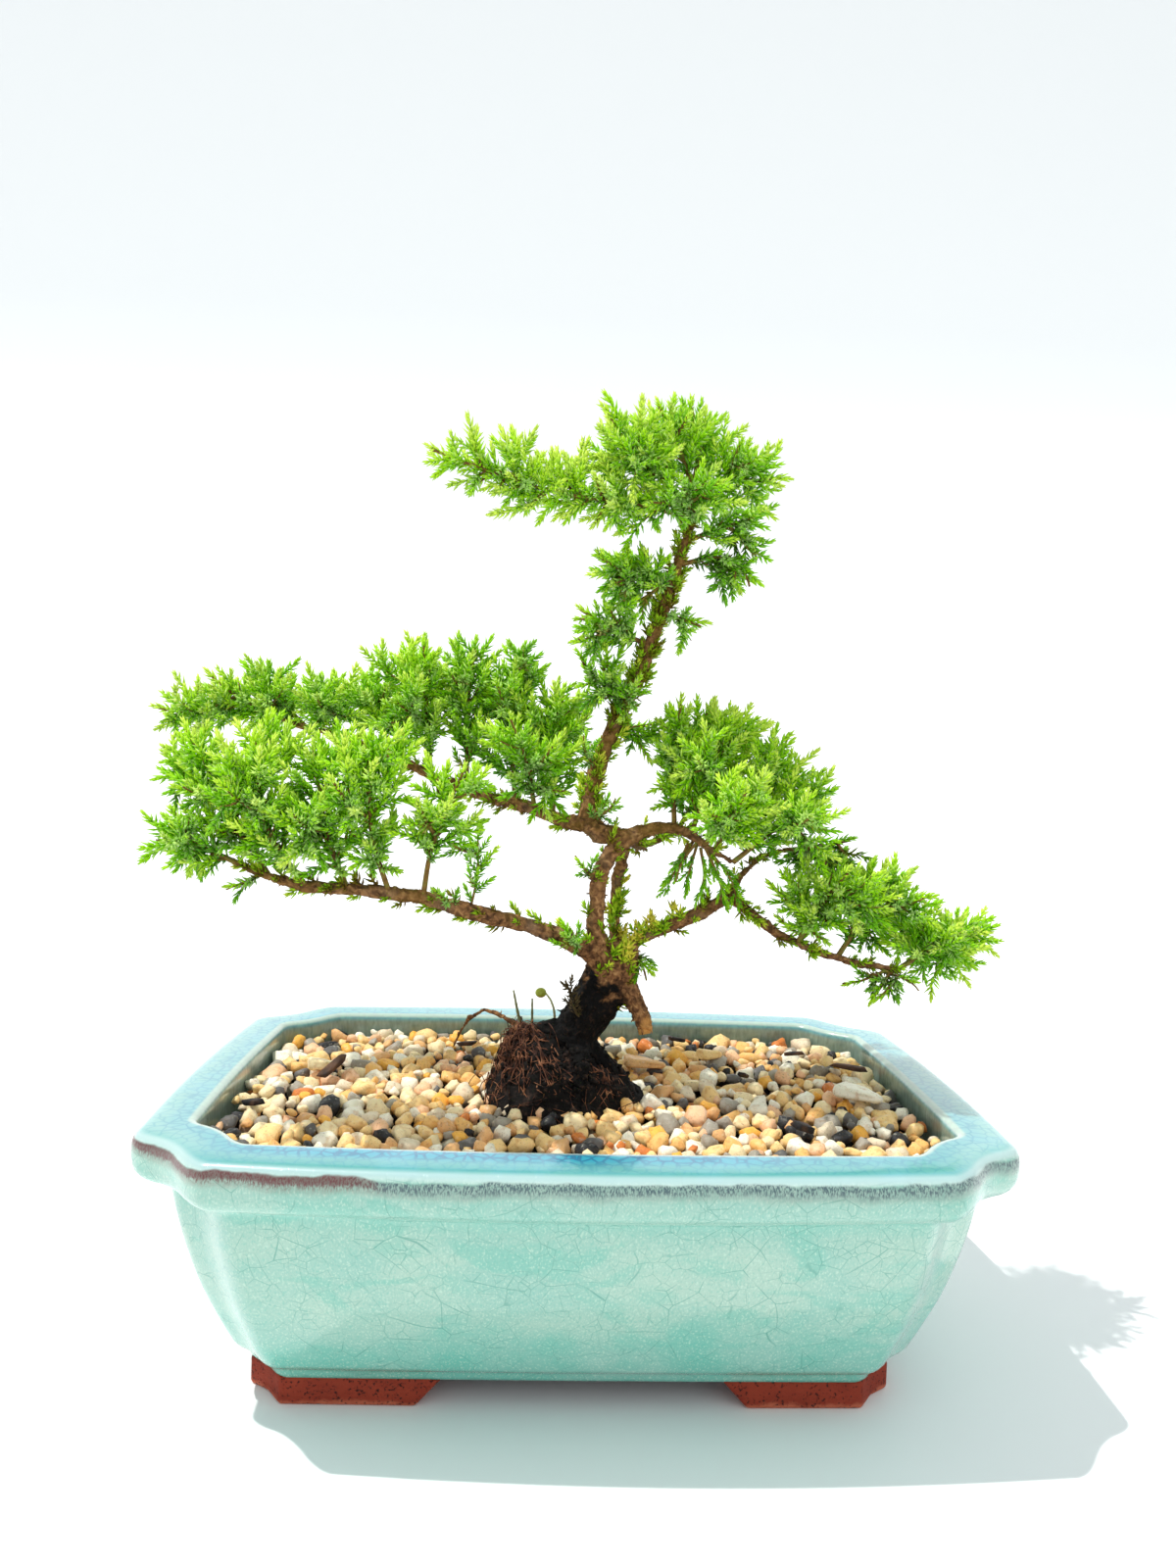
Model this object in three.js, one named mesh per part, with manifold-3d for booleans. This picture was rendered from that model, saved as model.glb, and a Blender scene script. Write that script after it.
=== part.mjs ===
// A flaky juniper bonsai growing in its glazed stoneware pot.
// Millimetres, +Z up, +X to the viewer's right, +Y away from the viewer.
// The origin is on the floor, under the middle of the pot.

import * as THREE from 'three';
import { mergeVertices } from 'three/addons/utils/BufferGeometryUtils.js';
import Module from 'manifold-3d';

const wasm = await Module();
wasm.setup();

// Driving dimensions of the pot
const RIM_WIDTH = 254;
const RIM_DEPTH = 180;
const POT_HEIGHT = 82;
const RIM_FLAT = 16;
const WALL = 6.5;
const BODY_BOTTOM = 7.5;
const INNER_FLOOR = 14;
const BASE_INSET = 31.4;
const LONG_SIDE_LEAN = 1.14;
const CORNER_CUT = 25.7;
const CORNER_STEP = 14.9;
const CORNER_ROUND = 0.22;
const LONG_SIDE_BOW = 5.2;
const SHORT_SIDE_BOW = 2.6;
const FOOT_BAND = 15;
const FOOT_LEFT_LENGTH = 50;
const FOOT_RIGHT_LENGTH = 45;
const FOOT_SHORT_LENGTH = 32;
const FOOT_SPLAY = 7;
const DRAIN_SPACING = 84;
const DRAIN_DIAMETER = 17;

// Fills of the pot, the gap that resting pieces keep, and the fills' gap to the pot's sides
const GAP = 0.3;
const SIDE_GAP = 0.5;
const SOIL_TOP = 68;
const GRAVEL_TOP = 76.4;
const PEBBLE_PITCH = 11.2;
const ROW_PITCH = Math.cos(Math.PI / 6) * PEBBLE_PITCH;
const PEBBLE_SHAKE = 0.4;
const PEBBLE_RELIEF = 4;
const MOUND_SIDES = 16;

// Foliage: needles at their true size, in whorls on slim three-sided twigs
const NEEDLE_SPREAD = 3.4;
const NEEDLE_LEAN = 3.8;
const BAND = 6.4;
const BARE_BAND = 14;
const TWIG_RADIUS = 0.62;
const NEEDLED_MAIN = 26;
const NEEDLED_SPRAY = 18;
const LEAST_BARE = 0.2;

// Facets that lie this close to one plane are merged.
const FLAT_ENOUGH = 0.004;

// Random draws, repeatable from their seed
function seededDraw(seed) {
  let state = seed;
  return () => {
    state = (state * 1664525 + 1013904223) % 4294967296;
    return state / 4294967296;
  };
}

function vector([x, y, z]) {
  return new THREE.Vector3(x, y, z);
}

// Geometry and solids

function geometryFrom(positions) {
  const geometry = new THREE.BufferGeometry();
  geometry.setAttribute('position', new THREE.Float32BufferAttribute(positions, 3));
  return geometry;
}

function solidFrom(geometry) {
  const bare = geometry.clone();
  bare.deleteAttribute('normal');
  bare.deleteAttribute('uv');
  const merged = mergeVertices(bare, 1e-4);
  return new wasm.Manifold(new wasm.Mesh({
    numProp: 3,
    vertProperties: new Float32Array(merged.attributes.position.array),
    triVerts: new Uint32Array(merged.index.array),
  }));
}

function geometryOf(solid) {
  const mesh = solid.getMesh();
  const geometry = new THREE.BufferGeometry();
  geometry.setAttribute('position', new THREE.Float32BufferAttribute(mesh.vertProperties, 3));
  geometry.setIndex(Array.from(mesh.triVerts));
  geometry.computeVertexNormals();
  return geometry;
}

function joined(solids) {
  return solids.reduce((sum, solid) => sum.add(solid));
}

// Fusing and cutting can leave a loose scrap, so only the largest body is kept.
function largestBody(solid) {
  const bodies = solid.simplify(FLAT_ENOUGH).decompose();
  return bodies.reduce((best, body) => (body.volume() > best.volume() ? body : best));
}

function pushTriangle(positions, a, b, c) {
  positions.push(a.x, a.y, a.z, b.x, b.y, b.z, c.x, c.y, c.z);
}

// A solid through level outlines: each section has a counterclockwise outline and its height.
function stack(sections) {
  const rings = sections.map(({ outline, z }) => outline.map((p) => new THREE.Vector3(p.x, p.y, z)));
  const positions = [];
  for (let level = 0; level + 1 < rings.length; level += 1) {
    const [lower, upper] = [rings[level], rings[level + 1]];
    for (let i = 0; i < lower.length; i += 1) {
      const next = (i + 1) % lower.length;
      pushTriangle(positions, lower[i], lower[next], upper[next]);
      pushTriangle(positions, lower[i], upper[next], upper[i]);
    }
  }
  const [first, last] = [rings[0], rings[rings.length - 1]];
  for (const [i, j, k] of THREE.ShapeUtils.triangulateShape(sections[0].outline, [])) {
    pushTriangle(positions, first[i], first[k], first[j]);
  }
  for (const [i, j, k] of THREE.ShapeUtils.triangulateShape(sections[sections.length - 1].outline, [])) {
    pushTriangle(positions, last[i], last[j], last[k]);
  }
  return solidFrom(geometryFrom(positions));
}

// Pot: a rectangle in plan with bowed sides and indented corners.
// The plan is set back from the rim's outer edge by the inset. Towards the base, the long sides lean in
// more than the short ones, the sides lose their bow and the corners their dent.

function quarterPlan(inset) {
  const halfWidth = RIM_WIDTH / 2 - inset;
  const halfDepth = RIM_DEPTH / 2 - LONG_SIDE_LEAN * inset;
  const fading = 1 - inset / BASE_INSET;
  const longBow = THREE.MathUtils.lerp(0.1, 1, fading) * LONG_SIDE_BOW;
  const shortBow = THREE.MathUtils.lerp(0.1, 1, fading) * SHORT_SIDE_BOW;
  const cut = THREE.MathUtils.lerp(0.43, 1, fading) * CORNER_CUT;
  const step = THREE.MathUtils.lerp(0.43, 1, fading) * CORNER_STEP;
  const cornerStart = new THREE.Vector2(halfWidth - cut, halfDepth - longBow);
  const dent = new THREE.Vector2(halfWidth - step, halfDepth - longBow - step);
  const cornerEnd = new THREE.Vector2(halfWidth - shortBow, halfDepth - cut);
  const onShortSide = (share) => new THREE.Vector2(
    halfWidth - shortBow * share * share,
    (halfDepth - cut) * share,
  );
  const onLongSide = (share) => new THREE.Vector2(
    (halfWidth - cut) * share,
    halfDepth - longBow * share * share,
  );
  return [
    onShortSide(0),
    onShortSide(0.9),
    cornerEnd.clone().lerp(dent, CORNER_ROUND),
    dent.clone().lerp(cornerEnd, CORNER_ROUND),
    dent.clone().lerp(cornerStart, CORNER_ROUND),
    cornerStart.clone().lerp(dent, CORNER_ROUND),
    onLongSide(0.92),
    onLongSide(0.5),
    onLongSide(0),
  ];
}

function potOutline(inset) {
  const quarter = quarterPlan(inset);
  const backward = quarter.slice(1, -1).reverse();
  const mirrored = (points, signX, signY) => points.map((p) => new THREE.Vector2(signX * p.x, signY * p.y));
  return [
    ...quarter,
    ...mirrored(backward, -1, 1),
    ...mirrored(quarter, -1, -1),
    ...mirrored(backward, 1, -1),
  ];
}

// Sections of the pot, each as its inset and its height
const POT_OUTSIDE = [
  [BASE_INSET, BODY_BOTTOM],
  [25.8, 15],
  [21.6, 24],
  [17.8, 33],
  [12.6, 50],
  [9.8, 64],
  [6.2, 67],
  [2.4, 68.6],
  [0.5, 71],
  [0, 74],
  [0, 78],
  [0.6, POT_HEIGHT - 1.8],
  [1.8, POT_HEIGHT - 0.6],
  [4.5, POT_HEIGHT],
];

const POT_INSIDE = [
  [RIM_FLAT - 1.3, POT_HEIGHT],
  [RIM_FLAT, POT_HEIGHT - 1.2],
  [RIM_FLAT + 0.6, SOIL_TOP],
  [17.5 + WALL, 32],
  [35, INNER_FLOOR],
];

function section([inset, z]) {
  return { outline: potOutline(inset), z };
}

// The inside's inset at a height, for what fills the pot
function insideInset(height) {
  const upper = POT_INSIDE.findLastIndex(([, z]) => z >= height);
  const lower = Math.min(upper + 1, POT_INSIDE.length - 1);
  const [insetA, zA] = POT_INSIDE[upper];
  const [insetB, zB] = POT_INSIDE[lower];
  return THREE.MathUtils.mapLinear(height, zA, zB, insetA, insetB);
}

function fillSection(height) {
  return { outline: potOutline(insideInset(height) + SIDE_GAP), z: height };
}

// A bracket foot follows its corner, with ends that slope outward to the body.
function foot(signX, signY) {
  const corner = quarterPlan(BASE_INSET).slice(1, 7);
  const halfWidth = corner[0].x;
  const halfDepth = corner[corner.length - 1].y;
  const longLength = signX < 0 ? FOOT_LEFT_LENGTH : FOOT_RIGHT_LENGTH;
  const footSection = (z) => {
    const splayed = (FOOT_SPLAY * z) / BODY_BOTTOM;
    const longEnd = halfWidth - longLength - splayed;
    const shortEnd = halfDepth - FOOT_SHORT_LENGTH - splayed;
    const points = [
      new THREE.Vector2(halfWidth - FOOT_BAND, shortEnd),
      new THREE.Vector2(halfWidth, shortEnd),
      ...corner,
      new THREE.Vector2(longEnd, halfDepth),
      new THREE.Vector2(longEnd, halfDepth - FOOT_BAND),
      new THREE.Vector2(halfWidth - FOOT_BAND, halfDepth - FOOT_BAND),
    ];
    const placed = points.map((p) => new THREE.Vector2(signX * p.x, signY * p.y));
    return { outline: signX * signY < 0 ? placed.reverse() : placed, z };
  };
  return stack([footSection(0), footSection(BODY_BOTTOM + 1)]);
}

function buildPot() {
  const body = stack([...POT_OUTSIDE, ...POT_INSIDE].map(section));
  const feet = [];
  for (const signX of [-1, 1]) {
    for (const signY of [-1, 1]) {
      feet.push(foot(signX, signY));
    }
  }
  const drain = new THREE.CylinderGeometry(DRAIN_DIAMETER / 2, DRAIN_DIAMETER / 2, 4 * WALL, 16);
  drain.rotateX(Math.PI / 2);
  const leftDrain = solidFrom(drain.clone().translate(-DRAIN_SPACING / 2, 0, INNER_FLOOR));
  const rightDrain = solidFrom(drain.clone().translate(DRAIN_SPACING / 2, 0, INNER_FLOOR));
  return joined([body, ...feet]).subtract(leftDrain).subtract(rightDrain);
}

// Plastic mesh over a drainage hole: a thin plate with square openings
const SCREEN_SIZE = 26;
const SCREEN_THICKNESS = 1;
const SCREEN_CELLS = 2;

function screenBox(width, height, x) {
  return new THREE.BoxGeometry(width, width, height)
    .translate(x, 0, INNER_FLOOR + GAP + SCREEN_THICKNESS / 2);
}

function buildScreen(x) {
  let screen = solidFrom(screenBox(SCREEN_SIZE, SCREEN_THICKNESS, x));
  const pitch = SCREEN_SIZE / (SCREEN_CELLS + 0.5);
  for (let row = 0; row < SCREEN_CELLS; row += 1) {
    for (let column = 0; column < SCREEN_CELLS; column += 1) {
      const opening = screenBox(0.72 * pitch, 2 * SCREEN_THICKNESS, x).translate(
        (column - (SCREEN_CELLS - 1) / 2) * pitch,
        (row - (SCREEN_CELLS - 1) / 2) * pitch,
        0,
      );
      screen = screen.subtract(solidFrom(opening));
    }
  }
  return screen;
}

// Wood

// Rings along a route, carried without twist
function framesAlong(curve, shares) {
  let side = new THREE.Vector3(0, -1, 0);
  return shares.map((share) => {
    const point = curve.getPoint(share);
    const tangent = curve.getTangent(share);
    side = side.clone().addScaledVector(tangent, -side.dot(tangent));
    if (side.lengthSq() < 0.01) {
      side = new THREE.Vector3(1, 0, 0).addScaledVector(tangent, -tangent.x);
    }
    side.normalize();
    return { point, tangent, side, across: new THREE.Vector3().crossVectors(tangent, side) };
  });
}

function ringPoint(frame, radius, angle) {
  return frame.point.clone()
    .addScaledVector(frame.side, radius * Math.cos(angle))
    .addScaledVector(frame.across, radius * Math.sin(angle));
}

// Each limb of the wood: points of its centre line with the radius there.
// Its outline is fluted, as the bark is. The extra radius makes the room that neighbours leave.
function limb(points, sides, extra) {
  const curve = new THREE.CatmullRomCurve3(points.map(vector), false, 'centripetal');
  const ringCount = points.length - 1;
  const shares = Array.from({ length: ringCount + 1 }, (_, ring) => ring / ringCount);
  const frames = framesAlong(curve, shares);
  const first = frames[0];
  const last = frames[frames.length - 1];
  first.point.addScaledVector(first.tangent, -extra);
  last.point.addScaledVector(last.tangent, extra);
  const rings = frames.map((frame, ring) => {
    const radius = points[ring][3];
    return Array.from({ length: sides }, (_, i) => {
      const angle = (i * 2 * Math.PI) / sides;
      const flute = 0.1 * Math.sin(3 * angle + 0.9 * ring) + 0.05 * Math.sin(2 * angle + 2.3 * ring);
      return ringPoint(frame, radius * (1 + flute) + extra, angle);
    });
  });
  const positions = [];
  for (let ring = 0; ring < ringCount; ring += 1) {
    for (let i = 0; i < sides; i += 1) {
      const next = (i + 1) % sides;
      pushTriangle(positions, rings[ring][i], rings[ring][next], rings[ring + 1][next]);
      pushTriangle(positions, rings[ring][i], rings[ring + 1][next], rings[ring + 1][i]);
    }
  }
  for (let i = 1; i + 1 < sides; i += 1) {
    pushTriangle(positions, rings[0][0], rings[0][i + 1], rings[0][i]);
    pushTriangle(positions, rings[ringCount][0], rings[ringCount][i], rings[ringCount][i + 1]);
  }
  return solidFrom(geometryFrom(positions));
}

// Centre lines of the wood, from the base outward: x, y, z and radius
const LIMBS = {
  trunk: [[-6, 0, 66, 7.6], [-5, 0, 80, 7.6], [-3, 0, 90, 7.2], [-0.5, -1, 97, 7.4], [2.6, -1, 102, 7.9],
    [6.6, -2, 109, 8], [10.5, -2, 115, 8.8], [12.5, -3, 121, 8.2], [13.5, -3, 126, 5.6]],
  frontStem: [[10, -5, 117, 4.6], [6, -8, 125, 3.4], [3.7, -10, 133, 2.6], [4, -11, 139, 2.5],
    [4.1, -11, 145, 2.5], [5.1, -11, 151, 2.6], [8.1, -10, 157, 2.8], [12.2, -8, 161, 3],
    [21.4, -7, 165, 2.2], [29.7, -8, 166, 1.8], [34, -12, 164, 1.5], [41, -15, 159, 1.3],
    [47, -18, 156, 1]],
  fork: [[12, -7, 164, 1.7], [18, 0, 158, 1.4], [24, 5, 160, 1.4], [32, 10, 163, 1.1]],
  leader: [[10, -7, 163, 3], [4, -3, 163, 3.8], [1, 0, 167, 3.6], [1, 3, 174, 3.1], [5, 7, 188, 2.8],
    [11, 10, 203, 2.6], [17, 10, 215, 2.4], [20, 9, 226, 2.2], [25, 8, 240, 2],
    [28, 7, 251, 1.9], [31, 5, 261, 1.7], [32, 4, 271, 1.5], [33, 4, 282, 1.1]],
  upperLeft: [[3, -1, 165, 2.8], [-7, 4, 166, 2.4], [-19, 10, 170, 2.2], [-34, 16, 173, 2.1],
    [-51, 22, 178, 1.9], [-69, 27, 186, 1.6], [-89, 30, 193, 1.3], [-105, 32, 196, 1]],
  backStem: [[13, 2, 121, 2.6], [11.5, 11, 131, 2.1], [12, 12, 145, 2.1], [13.5, 4, 156, 2],
    [13, -5, 163, 2]],
  rightBranch: [[11, -2, 118, 3], [19, -2, 128, 2.6], [27, -4, 132, 2.5], [39, -8, 138, 2.3],
    [48, -9, 144, 2.4], [54, -9, 139, 1.8], [64, -11, 132, 1.6], [77, -14, 127, 1.5],
    [89, -17, 124, 1.3], [102, -20, 123, 1]],
  rightRiser: [[48, -9, 143, 1.8], [52, -4, 150, 1.3], [60, 2, 156, 1.1], [69, 8, 158, 0.9]],
  lowerLeft: [[8, -4, 117, 3.4], [1, -9, 125, 3], [-8, -14, 130, 2.8], [-21, -20, 135, 2.6],
    [-36, -25, 139, 2.4], [-51, -30, 144, 2.3], [-68, -34, 146, 2], [-85, -37, 147, 1.7],
    [-96, -38, 150, 1.3], [-105, -38, 154, 0.9]],
  cutStub: [[12, -3, 116, 4.5], [16.5, -7, 110, 3.7], [19.5, -8.5, 105, 3.1], [20.8, -9, 101.5, 2.7],
    [21.3, -9, 98.8, 2.4]],
  leftRoot: [[-3, 0, 95, 5], [-12, 3, 95, 3.4], [-20, 4, 90, 2.4], [-27, 3, 80, 1.6], [-29, 2, 73, 1.2]],
  frontRoot: [[0, -3, 92, 5], [1, -12, 87, 3], [-1, -20, 80, 2], [0, -26, 73, 1.3]],
  rightRoot: [[1, -1, 92, 5], [8, -3, 87, 3], [14, -6, 80, 2], [19, -10, 73, 1.3]],
  archingRoot: [[-14, 3, 93, 1.8], [-18, 6, 93.5, 1.3], [-21.5, 9, 95.2, 1.1], [-27, 14, 97.2, 1],
    [-32.8, 20, 97.3, 1], [-38.9, 30, 91.2, 0.9], [-43, 42, 82.5, 0.8], [-46, 52, 74, 0.7]],
};

const THICK_LIMBS = ['trunk', 'frontStem', 'leader'];

function buildWood(extra) {
  return joined(Object.entries(LIMBS).map(([name, points]) => {
    const thin = points[0][3] < 2;
    const sides = thin ? 5 : 6;
    return limb(points, THICK_LIMBS.includes(name) ? 8 : sides, extra);
  }));
}

// Root mound, soil and gravel

// The mound's levels, from below: the middle, the radius and the height.
// It is steep and high on the left, and runs out under the trunk on the right.
const MOUND_LEVELS = [
  { middle: [-4, -2], radius: 26, z: SOIL_TOP - 4 },
  { middle: [-4, -2], radius: 24.5, z: 75 },
  { middle: [-5, -1], radius: 22, z: 80 },
  { middle: [-8, 1], radius: 17.6, z: 86 },
  { middle: [-10.5, 3], radius: 12.7, z: 91 },
  { middle: [-13, 4], radius: 7.4, z: 95 },
];

function moundOutline({ middle, radius, z }, extra) {
  return Array.from({ length: MOUND_SIDES }, (_, i) => {
    const angle = (i * 2 * Math.PI) / MOUND_SIDES;
    const lobes = 1 + 0.07 * Math.sin(2 * angle + 0.6) + 0.06 * Math.sin(5 * angle + 0.2 * z);
    const reach = radius * lobes + extra;
    return new THREE.Vector2(middle[0] + reach * Math.cos(angle), middle[1] + reach * Math.sin(angle));
  });
}

function buildMound(extra) {
  return stack(MOUND_LEVELS.map((level, i) => ({
    outline: moundOutline(level, extra),
    z: i === 0 ? level.z : level.z + extra,
  })));
}

function buildSoil(screens, rooted) {
  const fill = stack([INNER_FLOOR + GAP, 32, SOIL_TOP].map(fillSection));
  const pocketSize = [SCREEN_SIZE + 2 * GAP, SCREEN_THICKNESS + 2 * GAP];
  const pockets = screens.map((x) => solidFrom(screenBox(...pocketSize, x)));
  const soil = fill.add(buildMound(0)).subtract(rooted);
  return pockets.reduce((rest, pocket) => rest.subtract(pocket), soil);
}

// One pebble is a domed cell of a shaken honeycomb, so the layer has no bare spot.
function pebbleField() {
  const draw = seededDraw(4255);
  const rows = Math.ceil(RIM_DEPTH / ROW_PITCH) + 1;
  const columns = Math.ceil(RIM_WIDTH / PEBBLE_PITCH) + 1;
  const bottom = SOIL_TOP + GAP;
  const sites = new Map();
  const key = (row, column) => `${row},${column}`;
  for (let row = -1; row <= rows; row += 1) {
    for (let column = -1; column <= columns; column += 1) {
      const shift = row % 2 === 0 ? 0 : 0.5;
      const shakenColumn = column + shift - columns / 2 + PEBBLE_SHAKE * (draw() - 0.5);
      const shakenRow = row - rows / 2 + PEBBLE_SHAKE * (draw() - 0.5);
      sites.set(key(row, column), new THREE.Vector3(shakenColumn * PEBBLE_PITCH, shakenRow * ROW_PITCH, 0));
    }
  }
  const positions = [];
  for (let row = 0; row < rows; row += 1) {
    for (let column = 0; column < columns; column += 1) {
      const lean = row % 2 === 0 ? -1 : 0;
      const around = [
        [row, column + 1], [row + 1, column + 1 + lean], [row + 1, column + lean],
        [row, column - 1], [row - 1, column + lean], [row - 1, column + 1 + lean],
      ];
      const site = sites.get(key(row, column));
      const neighbours = around.map(([r, c]) => sites.get(key(r, c)));
      const corners = neighbours.map((a, k) => {
        const b = neighbours[(k + 1) % neighbours.length];
        const corner = site.clone().add(a).add(b).divideScalar(3);
        return corner.setZ(GRAVEL_TOP - PEBBLE_RELIEF);
      });
      const middle = site.clone().setZ(GRAVEL_TOP + 2 * draw());
      corners.forEach((corner, k) => {
        const next = (k + 1) % corners.length;
        const [below, belowNext] = [corner.clone().setZ(bottom), corners[next].clone().setZ(bottom)];
        pushTriangle(positions, middle, corner, corners[next]);
        pushTriangle(positions, middle.clone().setZ(bottom), belowNext, below);
        const [r, c] = around[next];
        if (r < 0 || c < 0 || r >= rows || c >= columns) {
          pushTriangle(positions, corner, below, belowNext);
          pushTriangle(positions, corner, belowNext, corners[next]);
        }
      });
    }
  }
  return solidFrom(geometryFrom(positions));
}

function buildGravel(rooted) {
  const opening = stack([SOIL_TOP + GAP, POT_HEIGHT - 1].map(fillSection));
  return pebbleField().intersect(opening).subtract(buildMound(2 * GAP)).subtract(rooted);
}

// Foliage

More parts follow.
